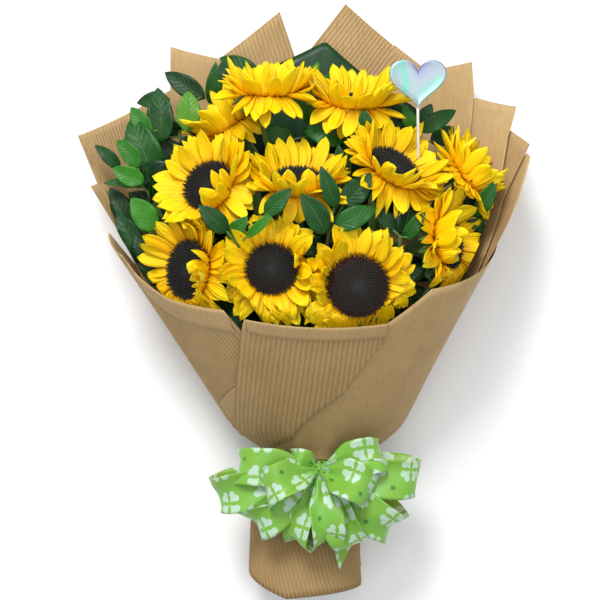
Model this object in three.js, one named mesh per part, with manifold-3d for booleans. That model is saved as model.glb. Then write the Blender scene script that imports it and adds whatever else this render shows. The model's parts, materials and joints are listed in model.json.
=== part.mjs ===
// A bunch of eleven sunflowers with leafy sprigs in a kraft paper wrap, lying on its back.
// X is to the right, Y runs from the cut ends to the flowers and Z is up from the table.
// Layout coordinates have the tie at Y = 0; the last lines centre the bunch on its origin.

import * as THREE from 'three';
import { mergeVertices } from 'three/addons/utils/BufferGeometryUtils.js';
import Module from 'manifold-3d';

const wasm = await Module();
wasm.setup();

// ---------------------------------------------------------------- driving dimensions, mm

const clearance = 0.4;            // kept between pieces that lie against each other

const waistHalfLength = 8;        // the gathered length under the ribbon
const shoulderY = 34;             // the paper spreads quickly from the waist to here
const kneeY = -50;                // the foot flares from the waist to here
const footY = -128;

const stemRadius = 5;
const stemSpacing = 2 * stemRadius + 1.4;
const bundleSpread = stemSpacing / 11.4;  // the slots below are for stems 11.4 mm apart

const waist = { halfWidth: 34 * bundleSpread, halfHeight: 26 * bundleSpread, lift: 6 };

const wrap = {
  thickness: 1.2,                 // one sheet with its ribs
  layerStep: 2.4,                 // from one sheet's outer face to the next
  outerBackLayer: 3,              // the sheet that lies on the table
  flatShare: 0.93,                // share of the half height at which the back is flat
  facet: 12,                      // degrees between the sheets' shared columns
  develop: 0.47,                  // degrees of flat paper per degree round the axis
  // The inner layer's half width and height, sideways shift and lift, from foot to mouth.
  // The waist is lifted because the ribbon passes under it.
  stations: [
    { y: footY, halfWidth: 47, halfHeight: 32, shift: -13, lift: 0 },
    { y: kneeY, halfWidth: 44, halfHeight: 30, shift: -13, lift: 0 },
    { y: -waistHalfLength, ...waist, shift: 0 },
    { y: waistHalfLength, ...waist, shift: 0 },
    { y: shoulderY, halfWidth: 71, halfHeight: 40, shift: -2, lift: 0 },
    { y: 460, halfWidth: 314, halfHeight: 223, shift: -34, lift: 0 },
  ],
};

const flower = {
  petalCount: 11,
  petalThickness: 3,
  petalCup: 7,                    // how far the tips stand forward of the disc's foot
  petalNotch: 0.8,                // reach of the notch between two tips
  petalTipShare: 0.6,             // thickness at the tips as a share of that at the foot
  discHeight: 8,
  discRimHeight: 4,
  discCrownShare: 0.6,            // where the dome flattens, as a share of the disc's radius
  calyxDepth: 13,
  calyxFootShare: 0.35,           // the cup's lower and upper radius as shares of the disc's
  calyxRimShare: 0.95,
  stemIntoCalyx: 2,
  stemBendShare: 0.45,
  stemSteps: 18,
  stemFootSpread: 1.1,
  guideRun: 30,                   // the stem runs straight for this long below the tie
  neckLength: 30,
  cutY: footY + 20,
};

const foliage = {
  stemRadius: 1.8,
  leafThickness: 1.4,
  petioleRadius: 1,
  petioleIntoLeaf: 0.12,          // share of the leaf's length that its stalk runs into
  stemCutY: footY + 28,
};

const backLeafInset = 3.2;        // the broad leaf stands this far inside the liner
const tie = { halfLength: 5, thickness: 1.2, inset: 1.8 };
const ribbon = {
  bandHalfLength: 7.5,
  thickness: 1.2,
  podThickness: 11,
  knotRadius: 11,
  backEnds: 25,                   // degrees from the middle of the back
  frontStarts: 75,
};
const pick = {
  tip: [92, 338, 135],
  heartWidth: 54,
  heartHeight: 46.4,
  heartThickness: 0.8,
  stickRadius: 1.3,
  stickLength: 150,
  stickAboveTip: 27,
  bendBelowTip: 4,
  stickRuns: [0.03, -0.94, -0.34],
};

// Where each stem passes the tie [x, z], and where and how each head faces. The slots spread
// from the middle of the waist with the stems' spacing.
const slotMiddle = 37.38;
const flowers = [
  { at: [-120, 188, 140], facing: [-0.70, 0.05, 0.72], disc: 30, reach: 57, slot: [-11.4, 49.4] },
  { at: [-44, 188, 162], facing: [0.00, 0.10, 1.00], disc: 26, reach: 54, slot: [0, 50] },
  { at: [35, 172, 165], facing: [0.05, 0.05, 1.00], disc: 31, reach: 62, slot: [11.4, 49.4] },
  { at: [118, 214, 132], facing: [0.84, 0.12, 0.52], disc: 27, reach: 56, slot: [20, 39] },
  { at: [-102, 265, 140], facing: [-0.42, 0.36, 0.83], disc: 27, reach: 57, slot: [-20, 39] },
  { at: [-20, 267, 148], facing: [0.00, 0.82, 0.57], disc: 27, reach: 56, slot: [-7, 39] },
  { at: [69, 281, 138], facing: [0.45, 0.68, 0.57], disc: 28, reach: 60, slot: [6, 39] },
  { at: [141, 276, 95], facing: [0.72, 0.64, 0.25], disc: 25, reach: 50, slot: [18, 27.5] },
  { at: [-48, 353, 118], facing: [0.02, 0.98, 0.20], disc: 26, reach: 50, slot: [-4, 27.5] },
  { at: [-83, 329, 82], facing: [-0.55, 0.80, 0.22], disc: 25, reach: 50, slot: [-16, 27.5] },
  { at: [31, 345, 105], facing: [0.10, 0.93, 0.34], disc: 26, reach: 54, slot: [7, 27.5] },
];

// Sprigs: where the stem passes the tie, a point it bends through, and its leaves, each with
// its base, its tip and its width, and a turn about its own length where it isn't face up.
const sprigs = {
  left_top: {
    slot: [-12, 21], via: [-105, 230, 60],
    leaves: [
      { base: [-150, 310, 85], tip: [-155, 365, 78], width: 27 },
      { base: [-125, 320, 95], tip: [-125, 360, 92], width: 25 },
      { base: [-110, 355, 60], tip: [-150, 382, 55], width: 22 },
      { base: [-145, 355, 50], tip: [-177, 352, 52], width: 18 },
      { base: [-160, 318, 90], tip: [-180, 345, 86], width: 18 },
    ],
  },
  left_mid: {
    slot: [-24, 30], via: [-118, 180, 75],
    leaves: [
      { base: [-155, 275, 95], tip: [-180, 335, 88], width: 36 },
      { base: [-170, 285, 108], tip: [-192, 312, 105], width: 18 },
      { base: [-165, 272, 112], tip: [-195, 285, 113], width: 20 },
      { base: [-190, 285, 88], tip: [-214, 308, 90], width: 14 },
      { base: [-165, 268, 100], tip: [-205, 273, 99], width: 14, turn: 45 },
      { base: [-160, 250, 106], tip: [-161, 285, 118], width: 16, turn: 60 },
    ],
  },
  left_low: {
    slot: [-26.8, 35], via: [-98, 120, 90],
    leaves: [
      { base: [-155, 225, 116], tip: [-177, 256, 119], width: 26 },
      { base: [-178, 228, 88], tip: [-200, 268, 84], width: 28 },
      { base: [-168, 195, 98], tip: [-192, 243, 98], width: 26 },
      { base: [-160, 160, 108], tip: [-174, 195, 110], width: 18 },
    ],
  },
  top_left: {
    slot: [-5, 20.5], via: [-70, 230, 40],
    leaves: [
      { base: [-105, 350, 45], tip: [-100, 391, 55], width: 17 },
      { base: [-80, 343, 40], tip: [-96, 394, 37], width: 20 },
      { base: [-55, 370, 35], tip: [-98, 400, 26], width: 24 },
    ],
  },
  top_mid: {
    slot: [5, 20.5], via: [0, 230, 60],
    leaves: [
      { base: [-15, 355, 70], tip: [0, 392, 62], width: 14 },
      { base: [-5, 345, 75], tip: [16, 384, 70], width: 18 },
      { base: [-8, 328, 85], tip: [-20, 360, 96], width: 14 },
      { base: [27, 314, 112], tip: [-15, 320, 114], width: 28 },
      { base: [-25, 309, 118], tip: [-50, 322, 122], width: 20 },
      { base: [44, 318, 128], tip: [41, 338, 132], width: 14 },
    ],
  },
  centre: {
    slot: [6, 55.5], via: [-6, 125, 120],
    leaves: [
      { base: [25, 272, 122], tip: [18, 305, 132], width: 15 },
      { base: [15, 244, 162], tip: [1, 281, 174], width: 17 },
      { base: [20, 246, 160], tip: [47, 276, 162], width: 24 },
      { base: [5, 220, 165], tip: [-17, 256, 171], width: 24 },
      { base: [14, 226, 170], tip: [52, 244, 168], width: 22 },
      { base: [-25, 137, 138], tip: [-5, 157, 143], width: 18 },
    ],
  },
  centre_left: {
    slot: [-6, 55.5], via: [-68, 130, 112],
    leaves: [
      { base: [-50, 237, 166], tip: [-26, 261, 173], width: 18 },
      { base: [-67, 217, 170], tip: [-42, 239, 174], width: 10 },
      { base: [-84, 222, 168], tip: [-110, 246, 174], width: 20 },
      { base: [-84, 216, 162], tip: [-66, 236, 166], width: 16 },
      { base: [-88, 160, 133], tip: [-72, 129, 146], width: 18 },
    ],
  },
  centre_right: {
    slot: [18.8, 48], via: [66, 130, 100],
    leaves: [
      { base: [70, 222, 150], tip: [52, 246, 154], width: 16 },
      { base: [80, 215, 154], tip: [97, 241, 161], width: 15 },
    ],
  },
  top_right: {
    slot: [12.5, 21], via: [60, 220, 60],
    leaves: [
      { base: [90, 316, 90], tip: [80, 345, 96], width: 16 },
      { base: [95, 325, 80], tip: [109, 349, 76], width: 16 },
      { base: [96, 320, 98], tip: [131, 341, 96], width: 18 },
      { base: [108, 310, 82], tip: [130, 327, 78], width: 20 },
    ],
  },
  right_mid: {
    slot: [24.8, 31], via: [95, 150, 72],
    leaves: [
      { base: [148, 240, 112], tip: [166, 272, 122], width: 17 },
      { base: [125, 255, 105], tip: [135, 270, 106], width: 14 },
      { base: [154, 240, 106], tip: [126, 246, 110], width: 18 },
      { base: [125, 238, 98], tip: [158, 234, 100], width: 24 },
      { base: [150, 212, 90], tip: [155, 240, 96], width: 12 },
    ],
  },
  right_low: {
    slot: [26.8, 36], via: [76, 105, 84],
    leaves: [
      { base: [130, 180, 118], tip: [94, 190, 124], width: 22 },
      { base: [122, 174, 122], tip: [130, 194, 125], width: 10 },
      { base: [126, 172, 116], tip: [146, 184, 114], width: 16 },
      { base: [92, 148, 126], tip: [106, 173, 130], width: 14 },
    ],
  },
};

// Sheets of paper: rim and hem corners as [angle, Y], the angle round the wrap's axis from the
// middle of the back (0) by the right side (90) and the front (180) to the left side (270).
const hemAtWaist = -waistHalfLength;
const sheets = {
  paper_back_left: {
    layer: 2,
    rim: [[-100, 95], [-62, 252], [-61, 318], [-1, 448], [45, 110]],
    hem: [[-100, footY + 16], [45, footY + 12]],
  },
  paper_back_right: {
    layer: 3,
    rim: [[-45, 110], [3.5, 404], [11.5, 456], [71.5, 308], [72.5, 256], [105, 95]],
    hem: [[-45, footY + 12], [105, footY + 10]],
  },
  paper_liner: {
    layer: 0,
    rim: [[-75, 120], [-26, 384], [-24, 412], [41, 394], [44, 360], [85, 120]],
    hem: [[-75, hemAtWaist], [85, hemAtWaist]],
  },
  paper_side_left: {
    layer: 1,
    rim: [[-110, 95], [-74, 215], [-73, 268], [-63, 274], [-20, 150]],
    hem: [[-110, hemAtWaist], [-20, hemAtWaist]],
  },
  paper_side_right_inner: {
    layer: 1,
    rim: [[20, 250], [44, 358], [59, 346], [61, 316], [67.5, 274], [98, 100]],
    hem: [[20, hemAtWaist], [98, hemAtWaist]],
  },
  paper_side_right_outer: {
    layer: 4,
    rim: [[60, 240], [71, 300], [74.5, 296], [95.5, 216], [112, 100]],
    hem: [[60, hemAtWaist], [112, hemAtWaist]],
  },
  paper_front_left: {
    layer: 4,
    rim: [
      [116, 75], [185, 112], [208, 130], [212, 150], [224.5, 154], [239, 162],
      [254.5, 184], [257.5, 202], [281.5, 224], [305, 90],
    ],
    hem: [[116, footY + 10], [200, footY], [305, footY + 36]],
  },
  paper_front_right: {
    layer: 5,
    rim: [[65, 95], [85, 214], [103, 190], [134, 170], [149.5, 138], [165, 118], [250, 60]],
    hem: [[65, hemAtWaist], [250, hemAtWaist]],
  },
  paper_front_centre: {
    layer: 6,
    rim: [[149, 138], [204.5, 142], [216.5, 94], [233, 56], [250.5, 40], [254, 30]],
    hem: [[149, 120], [165, 70], [201, 26], [239.5, 14], [254, 18]],
  },
};

const broadLeaf = {
  rim: [[-20, 345], [-8.5, 384], [7.7, 417], [23.7, 359], [30, 325]],
  hem: [[-20, 320], [0, 200], [30, 300]],
  slot: [0, 20],
  stalkBendY: 110,
  stalkRise: 8,                   // the stalk's bend stands this far inside the leaf
  stalkIntoLeaf: 12,
};

// Bow loops and tails: their tips' X and Y, and Z from the knot.
const bowLoops = [
  { tip: [-80, 5, -12], width: 32 },
  { tip: [-101, -26, -20], width: 38 },
  { tip: [-88, -48, -26], width: 30 },
  { tip: [-54, -74, -6], width: 38 },
  { tip: [-16, -76, 0], width: 34 },
  { tip: [30, -78, -2], width: 34 },
  { tip: [76, -70, -14], width: 38 },
  { tip: [98, -8, -20], width: 38 },
  { tip: [80, 12, -12], width: 34 },
  { tip: [42, 16, 0], width: 34 },
  { tip: [-30, 6, 4], width: 34 },
  { tip: [30, -92, -8], width: 22 },
];

// ---------------------------------------------------------------- materials

const finish = (color, roughness, metalness = 0) =>
  new THREE.MeshStandardMaterial({ color, roughness, metalness });

const materials = {
  petal: finish(0xf5c518, 0.6),
  disc: finish(0x2a1a10, 0.9),
  stem: finish(0x5c8a3a, 0.6),
  leaf: finish(0x1f5a22, 0.35),
  paper: finish(0xb89a6a, 0.8),
  ribbon: finish(0x8fd14f, 0.4),
  tie: finish(0xa08050, 0.8),
  foil: finish(0xc8d4d8, 0.2, 0.8),
  stick: finish(0xf0f0ec, 0.4),
};

// ---------------------------------------------------------------- geometry helpers

const vector = (values) => new THREE.Vector3(...values);
const up = new THREE.Vector3(0, 0, 1);

/** A closed BufferGeometry from points and triangles, turned so that its faces point out. */
function closedGeometry(points, triangles) {
  let volume = 0;
  const cross = new THREE.Vector3();
  for (const [a, b, c] of triangles) {
    volume += points[a].dot(cross.crossVectors(points[b], points[c]));
  }
  const outward = volume < 0 ? triangles.map(([a, b, c]) => [a, c, b]) : triangles;
  const geometry = new THREE.BufferGeometry().setFromPoints(points);
  geometry.setIndex(outward.flat());
  return geometry;
}

/** The manifold solid of a closed geometry. */
function solidOf(geometry) {
  const bare = geometry.clone();
  bare.deleteAttribute('normal');
  bare.deleteAttribute('uv');
  const merged = mergeVertices(bare, 1e-4);
  return new wasm.Manifold(new wasm.Mesh({
    numProp: 3,
    vertProperties: merged.attributes.position.array,
    triVerts: Uint32Array.from(merged.index.array),
  }));
}

/** The largest body of a solid as a BufferGeometry. */
function geometryOf(solid) {
  const bodies = solid.decompose();
  bodies.sort((a, b) => b.volume() - a.volume());
  const mesh = bodies[0].getMesh();
  const geometry = new THREE.BufferGeometry();
  geometry.setAttribute('position', new THREE.BufferAttribute(mesh.vertProperties, 3));
  geometry.setIndex(new THREE.BufferAttribute(mesh.triVerts, 1));
  return geometry;
}

/** Joins solids one after another. */
const union = (solids) => solids.reduce((whole, solid) => whole.add(solid));

/** A slab between two faces, each given as a function of its column and row. */
function slab(columns, rows, outer, inner, closedRound = false) {
  const points = [];
  const triangles = [];
  const count = closedRound ? columns : columns + 1;
  for (const face of [outer, inner]) {
    for (let row = 0; row <= rows; row++) {
      for (let column = 0; column < count; column++) points.push(face(column, row));
    }
  }
  const faceSize = count * (rows + 1);
  const at = (face, column, row) => face * faceSize + row * count + (column % count);
  const quad = (a, b, c, d) => triangles.push([a, b, c], [a, c, d]);
  for (let row = 0; row < rows; row++) {
    for (let column = 0; column < columns; column++) {
      quad(at(0, column, row), at(0, column + 1, row), at(0, column + 1, row + 1), at(0, column, row + 1));
      quad(at(1, column, row + 1), at(1, column + 1, row + 1), at(1, column + 1, row), at(1, column, row));
    }
  }
  for (let column = 0; column < columns; column++) {
    quad(at(0, column + 1, 0), at(0, column, 0), at(1, column, 0), at(1, column + 1, 0));
    quad(at(0, column, rows), at(0, column + 1, rows), at(1, column + 1, rows), at(1, column, rows));
  }
  if (!closedRound) {
    for (let row = 0; row < rows; row++) {
      quad(at(0, 0, row), at(0, 0, row + 1), at(1, 0, row + 1), at(1, 0, row));
      quad(at(0, columns, row + 1), at(0, columns, row), at(1, columns, row), at(1, columns, row + 1));
    }
  }
  return closedGeometry(points, triangles);
}

/** A round bar along a smooth curve through the given points. */
function bar(points, radius, sides, steps) {
  const section = new THREE.Shape();
  for (let side = 0; side < sides; side++) {
    const angle = (2 * Math.PI * side) / sides;
    const [x, y] = [radius * Math.cos(angle), radius * Math.sin(angle)];
    if (side === 0) section.moveTo(x, y);
    else section.lineTo(x, y);
  }
  section.closePath();
  const extrudePath = new THREE.CatmullRomCurve3(points, false, 'centripetal');
  return new THREE.ExtrudeGeometry(section, { steps, extrudePath, bevelEnabled: false });
}

/** A flat pointed blade from base to tip, swollen by `grow` on every side. */
function blade(base, tip, width, thickness, turn = 0, grow = 0) {
  const along = tip.clone().sub(base);
  const length = along.length() + 2 * grow;
  along.normalize();
  const side = new THREE.Vector3().crossVectors(along, up).normalize();
  side.applyAxisAngle(along, THREE.MathUtils.degToRad(turn));
  const normal = new THREE.Vector3().crossVectors(side, along);
  const start = base.clone().addScaledVector(along, -grow);
  const outline = [[0, 0.06], [0.3, 0.85], [0.7, 0.85], [1, 0.02]];
  const half = width / 2 + grow;
  const thick = thickness / 2 + grow;
  const place = (column, row, face) => {
    const [share, spread] = outline[row];
    const point = start.clone().addScaledVector(along, share * length);
    point.addScaledVector(side, (column - 1) * spread * half);
    return point.addScaledVector(normal, face * thick);
  };
  return slab(2, outline.length - 1, (c, r) => place(c, r, 1), (c, r) => place(c, r, -1));
}

// ---------------------------------------------------------------- the wrap's shape

/** Half width, half height, sideways shift and lift of the wrap's inner layer at Y. */
function wrapProfile(y) {
  const { stations } = wrap;
  let leg = 0;
  while (leg < stations.length - 2 && y > stations[leg + 1].y) leg++;
  const [from, to] = [stations[leg], stations[leg + 1]];
  const at = (key) => THREE.MathUtils.mapLinear(y, from.y, to.y, from[key], to[key]);
  return { halfWidth: at('halfWidth'), halfHeight: at('halfHeight'), shift: at('shift'), lift: at('lift') };
}

/** A point of the wrap at an angle round its axis, `offset` outside the inner layer. */
function wrapPoint(angle, y, offset) {
  const { halfWidth, halfHeight, shift, lift } = wrapProfile(y);
  const turn = THREE.MathUtils.degToRad(THREE.MathUtils.euclideanModulo(angle + 180, 360) - 180);
  const flatTurn = Math.acos(wrap.flatShare);
  const floor = wrap.outerBackLayer * wrap.layerStep + lift;
  if (Math.abs(turn) <= flatTurn) {
    const x = (halfWidth * Math.sin(flatTurn) * turn) / flatTurn;
    return new THREE.Vector3(shift + x, y, floor - offset);
  }
  const normal = new THREE.Vector2(Math.sin(turn) / halfWidth, -Math.cos(turn) / halfHeight).normalize();
  return new THREE.Vector3(
    shift + halfWidth * Math.sin(turn) + offset * normal.x,
    y,
    floor + halfHeight * (wrap.flatShare - Math.cos(turn)) + offset * normal.y,
  );
}

/** Y of a straight paper edge between two corners of the cone, laid flat. */
function straightEdge([angle0, y0], [angle1, y1], angle) {
  const straightAbove = 100;
  if (y0 < straightAbove || y1 < straightAbove) {
    return THREE.MathUtils.mapLinear(angle, angle0, angle1, y0, y1);
  }
  const [shoulder, mouth] = wrap.stations.slice(-2);
  const spread = (mouth.halfWidth - shoulder.halfWidth) / (mouth.y - shoulder.y);
  const apexRun = shoulder.halfWidth / spread - shoulder.y;
  const flat = (value) => THREE.MathUtils.degToRad(value - angle0) * wrap.develop;
  const end = flat(angle1);
  const here = flat(angle);
  const inverse = (Math.sin(end - here) / (y0 + apexRun) + Math.sin(here) / (y1 + apexRun)) / Math.sin(end);
  return 1 / inverse - apexRun;
}

/** Y of a line of corners at an angle. */
function edgeY(corners, angle) {
  let leg = 0;
  while (leg < corners.length - 2 && angle > corners[leg + 1][0]) leg++;
  return straightEdge(corners[leg], corners[leg + 1], angle);
}

/** The angles of a sheet's columns: shared by all sheets, with its own corners added. */
function columnAngles(rim, hem) {
  const first = rim[0][0];
  const last = rim[rim.length - 1][0];
  const flatEdge = THREE.MathUtils.radToDeg(Math.acos(wrap.flatShare));
  const angles = [...rim, ...hem].map(([angle]) => angle);
  for (let angle = -180; angle <= 360; angle += wrap.facet) angles.push(angle);
  angles.push(-flatEdge, flatEdge, 360 - flatEdge);
  const inside = angles.filter((angle) => angle >= first && angle <= last).sort((a, b) => a - b);
  return inside.filter((angle, index) => index === 0 || angle - inside[index - 1] > 1e-6);
}

/** A curved sheet between two offsets from the wrap's inner layer. */
function wrapSheet({ rim, hem }, outerOffset, innerOffset) {
  const angles = columnAngles(rim, hem);
  const lowest = Math.min(...hem.map(([, y]) => y));
  const highest = Math.max(...rim.map(([, y]) => y));
  const crossed = wrap.stations.map(({ y }) => y).filter((y) => y > lowest && y < highest);
  const margin = 0.03;
  const heights = angles.map((angle) => {
    const low = edgeY(hem, angle);
    const high = edgeY(rim, angle);
    const least = (high - low) * margin;
    const between = crossed.map((y) => THREE.MathUtils.clamp(y, low + least, high - 2 * least));
    const last = between.length ? between[between.length - 1] : low;
    return [low, ...between, (last + high) / 2, high];
  });
  const face = (offset) => (column, row) => wrapPoint(angles[column], heights[column][row], offset);
  return slab(angles.length - 1, heights[0].length - 1, face(outerOffset), face(innerOffset));
}

/** The room inside the liner, from the foot to past the mouth. */
function roomInside() {
  const stations = wrap.stations.map(({ y }) => y);
  const columns = 40;
  const capRise = 20;
  const offset = -wrap.thickness - clearance;
  const points = [];
  const triangles = [];
  for (const y of stations) {
    for (let column = 0; column < columns; column++) {
      points.push(wrapPoint((360 * column) / columns, y, offset));
    }
  }
  for (let row = 0; row < stations.length - 1; row++) {
    for (let column = 0; column < columns; column++) {
      const next = (column + 1) % columns;
      const [a, b] = [row * columns + column, row * columns + next];
      triangles.push([a, b, b + columns], [a, b + columns, a + columns]);
    }
  }
  for (const row of [0, stations.length - 1]) {
    const centre = points.push(wrapPoint(0, stations[row], offset).addScaledVector(up, capRise)) - 1;
    for (let column = 0; column < columns; column++) {
      const [a, b] = [row * columns + column, row * columns + ((column + 1) % columns)];
      triangles.push(row === 0 ? [centre, b, a] : [centre, a, b]);
    }
  }
  return solidOf(closedGeometry(points, triangles));
}

// ---------------------------------------------------------------- the sunflowers

/** Turns and moves a geometry from a head's own frame to its place. */
function placeHead({ at, facing }, geometry) {
  const turn = new THREE.Quaternion().setFromUnitVectors(up, vector(facing).normalize());
  return geometry.applyQuaternion(turn).translate(...at);
}

/** The ring of petals round a disc, before its neighbours press into it. */
function petalRing(head, grow) {
  const { petalCount, petalThickness, petalCup, petalNotch, petalTipShare } = flower;
  const columns = 2 * petalCount;
  const inner = head.disc + clearance - grow;
  const face = (z) => (column, row) => {
    const angle = (2 * Math.PI * column) / columns;
    const reach = head.reach * (column % 2 ? petalNotch : 1) + grow;
    const radius = row === 0 ? inner : reach;
    const thinned = (z - petalThickness / 2) * petalTipShare + petalThickness / 2;
    const height = row === 0 ? z : petalCup + thinned;
    return new THREE.Vector3(radius * Math.cos(angle), radius * Math.sin(angle), height);
  };
  return placeHead(head, slab(columns, 1, face(petalThickness + grow), face(-grow), true));
}

/** The domed disc of seeds, which sits on the calyx inside the petals. */
function seedDisc(head, grow) {
  const profile = [
    [0, clearance - grow], [head.disc + grow, clearance - grow],
    [head.disc + grow, flower.discRimHeight + grow],
    [flower.discCrownShare * head.disc, flower.discHeight - 1 + grow], [0, flower.discHeight + grow],
  ].map(([x, y]) => new THREE.Vector2(x, y));
  return placeHead(head, new THREE.LatheGeometry(profile, 10).rotateX(Math.PI / 2));
}

/** The green cup under the petals. */
function calyx(head, grow) {
  const profile = [
    [0, -flower.calyxDepth - grow],
    [flower.calyxFootShare * head.disc + grow, -flower.calyxDepth - grow],
    [flower.calyxRimShare * head.disc + grow, -clearance + grow], [0, -clearance + grow],
  ].map(([x, y]) => new THREE.Vector2(x, y));
  return placeHead(head, new THREE.LatheGeometry(profile, 8).rotateX(Math.PI / 2));
}

/** X and Z of a slot at the tie. */
function slotPlace([x, z]) {
  const waistMiddle = wrap.outerBackLayer * wrap.layerStep + waist.lift + wrap.flatShare * waist.halfHeight;
  return [x * bundleSpread, waistMiddle + (z - slotMiddle) * bundleSpread];
}

/** Points down the middle of a flower's stem, from the cut end to the calyx. */
function stemLine({ at, facing, slot }) {
  const [x, z] = slotPlace(slot);
  const out = vector(facing).normalize();
  const end = vector(at).addScaledVector(out, flower.stemIntoCalyx - flower.calyxDepth);
  const waist = new THREE.Vector3(x, 0, z);
  const run = end.distanceTo(waist);
  const bend = new THREE.CubicBezierCurve3(
    waist,
    waist.clone().add(end.clone().sub(waist).setLength(flower.stemBendShare * run)),
    end.clone().addScaledVector(out, -flower.neckLength),
    end,
  );
  const shift = wrapProfile(flower.cutY).shift;
  const cut = new THREE.Vector3(flower.stemFootSpread * x + shift, flower.cutY, z);
  const guide = waist.clone().add(cut.clone().sub(waist).setLength(flower.guideRun));
  return [cut, guide, ...bend.getPoints(6)];
}

const stemSolid = (head, grow) =>
  union([solidOf(bar(stemLine(head), stemRadius + grow, 6, flower.stemSteps)), solidOf(calyx(head, grow))]);

/** A block that covers everything nearer to another head, less a clearance. */
function beyondMiddle(head, other, grow) {
  const from = vector(head.at);
  const to = vector(other.at);
  const away = to.clone().sub(from);
  const half = away.length() / 2 - clearance + grow;
  away.normalize();
  const size = 400;
  const block = new THREE.BoxGeometry(size, size, size);
  block.applyQuaternion(new THREE.Quaternion().setFromUnitVectors(up, away));
  const middle = from.addScaledVector(away, half + size / 2);
  return solidOf(block.translate(middle.x, middle.y, middle.z));
}

function petalSolid(head, grow) {
  let ring = solidOf(petalRing(head, grow));
  for (const other of flowers) {
    const near = vector(other.at).distanceTo(vector(head.at)) < head.reach + other.reach;
    if (other !== head && near) ring = ring.subtract(beyondMiddle(head, other, grow));
  }
  return ring;
}

// ---------------------------------------------------------------- the foliage

/** Points down the middle of a sprig's stem, ending amid its leaves. */
function sprigLine({ slot, via, leaves }) {
  const [x, z] = slotPlace(slot);
  const crown = new THREE.Vector3();
  for (const leaf of leaves) crown.addScaledVector(vector(leaf.base), 1 / leaves.length);
  const shift = wrapProfile(foliage.stemCutY).shift;
  return [new THREE.Vector3(x + shift, foliage.stemCutY, z), new THREE.Vector3(x, 0, z), vector(via), crown];
}

const sprigStem = (sprig, grow) => solidOf(bar(sprigLine(sprig), foliage.stemRadius + grow, 5, 12));

/** A sprig: its stem, and its leaves on short stalks. */
function sprigSolid(sprig, grow) {
  const samples = new THREE.CatmullRomCurve3(sprigLine(sprig), false, 'centripetal').getPoints(60);
  const solids = [sprigStem(sprig, grow)];
  for (const { base, tip, width, turn } of sprig.leaves) {
    const foot = vector(base);
    const root = samples.reduce((best, point) =>
      (point.distanceTo(foot) < best.distanceTo(foot) ? point : best));
    const end = vector(tip);
    const intoBlade = foot.clone().lerp(end, foliage.petioleIntoLeaf);
    solids.push(solidOf(blade(foot, end, width, foliage.leafThickness, turn, grow)));
    if (root.distanceTo(intoBlade) > foliage.petioleRadius) {
      solids.push(solidOf(bar([root, intoBlade], foliage.petioleRadius + grow, 4, 1)));
    }
  }
  return union(solids);
}

function broadLeafSolid(grow) {
  const outer = -backLeafInset + grow;
  const inner = -backLeafInset - foliage.leafThickness - grow;
  const [x, z] = slotPlace(broadLeaf.slot);
  const top = wrapPoint(0, broadLeaf.hem[1][1] + broadLeaf.stalkIntoLeaf, (outer + inner) / 2);
  const bend = wrapPoint(0, broadLeaf.stalkBendY, inner - broadLeaf.stalkRise);
  const stalk = [new THREE.Vector3(x, -foliage.petioleRadius, z), bend, top];
  return union([
    solidOf(wrapSheet(broadLeaf, outer, inner)),
    solidOf(bar(stalk, foliage.stemRadius + grow, 5, 8)),
  ]);
}

// ---------------------------------------------------------------- ties, ribbon and pick

/** A band round the wrap's shape at the waist. */
function band(halfLength, outerOffset, innerOffset) {
  const columns = 36;
  const face = (offset) => (column, row) => {
    const angle = (360 * column) / columns;
    return wrapPoint(angle, row ? halfLength : -halfLength, offset(angle));
  };
  return slab(columns, 1, face(outerOffset), face(innerOffset), true);
}

/** The ribbon's offset: over all the layers in front, over the back sheets behind. */
function ribbonOffset(angle) {
  const front = Math.max(...Object.values(sheets).map((sheet) => sheet.layer)) + 1;
  const behind = wrap.outerBackLayer + 1;
  const turn = Math.abs(THREE.MathUtils.euclideanModulo(angle + 180, 360) - 180);
  const share = THREE.MathUtils.smoothstep(turn, ribbon.backEnds, ribbon.frontStarts);
  return wrap.layerStep * (behind + (front - behind) * share);
}

const knot = wrapPoint(180, 0, ribbonOffset(180) + ribbon.thickness + ribbon.knotRadius + clearance);

function bowSolid() {
  const loops = bowLoops.map(({ tip, width }) =>
    solidOf(blade(knot, vector(tip).setZ(knot.z + tip[2]), width, ribbon.podThickness)));
  const heart = solidOf(new THREE.SphereGeometry(ribbon.knotRadius, 10, 6).translate(...knot.toArray()));
  return union([heart, ...loops]);
}

const pickTip = vector(pick.tip);

function heartGeometry() {
  const half = pick.heartWidth / 2;
  const height = pick.heartHeight;
  const shape = new THREE.Shape();
  shape.moveTo(0, 0);
  shape.bezierCurveTo(0.45 * half, 0.3 * height, half, 0.45 * height, half, 0.72 * height);
  shape.bezierCurveTo(half, 1.06 * height, 0.15 * half, 1.08 * height, 0, 0.8 * height);
  shape.bezierCurveTo(-0.15 * half, 1.08 * height, -half, 1.06 * height, -half, 0.72 * height);
  shape.bezierCurveTo(-half, 0.45 * height, -0.45 * half, 0.3 * height, 0, 0);
  const options = { depth: pick.heartThickness, bevelEnabled: false, curveSegments: 6 };
  return new THREE.ExtrudeGeometry(shape, options).translate(...pickTip.toArray());
}

/** The stick lies under the heart and runs down among the stems. */
function stickSolid(grow) {
  const under = pickTip.clone().addScaledVector(up, -pick.stickRadius - clearance);
  const top = under.clone().add(new THREE.Vector3(0, pick.stickAboveTip, 0));
  const bend = under.clone().add(new THREE.Vector3(0, -pick.bendBelowTip, 0));
  const end = bend.clone().addScaledVector(vector(pick.stickRuns).normalize(), pick.stickLength);
  return solidOf(bar([top, bend, end], pick.stickRadius + grow, 6, 6));
}

// ---------------------------------------------------------------- assembly

const bunch = new THREE.Group();
bunch.name = 'bunch_of_sunflowers';

function addPiece(name, geometry, material) {
  const mesh = new THREE.Mesh(geometry, material);
  mesh.name = name;
  bunch.add(mesh);
}

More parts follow.
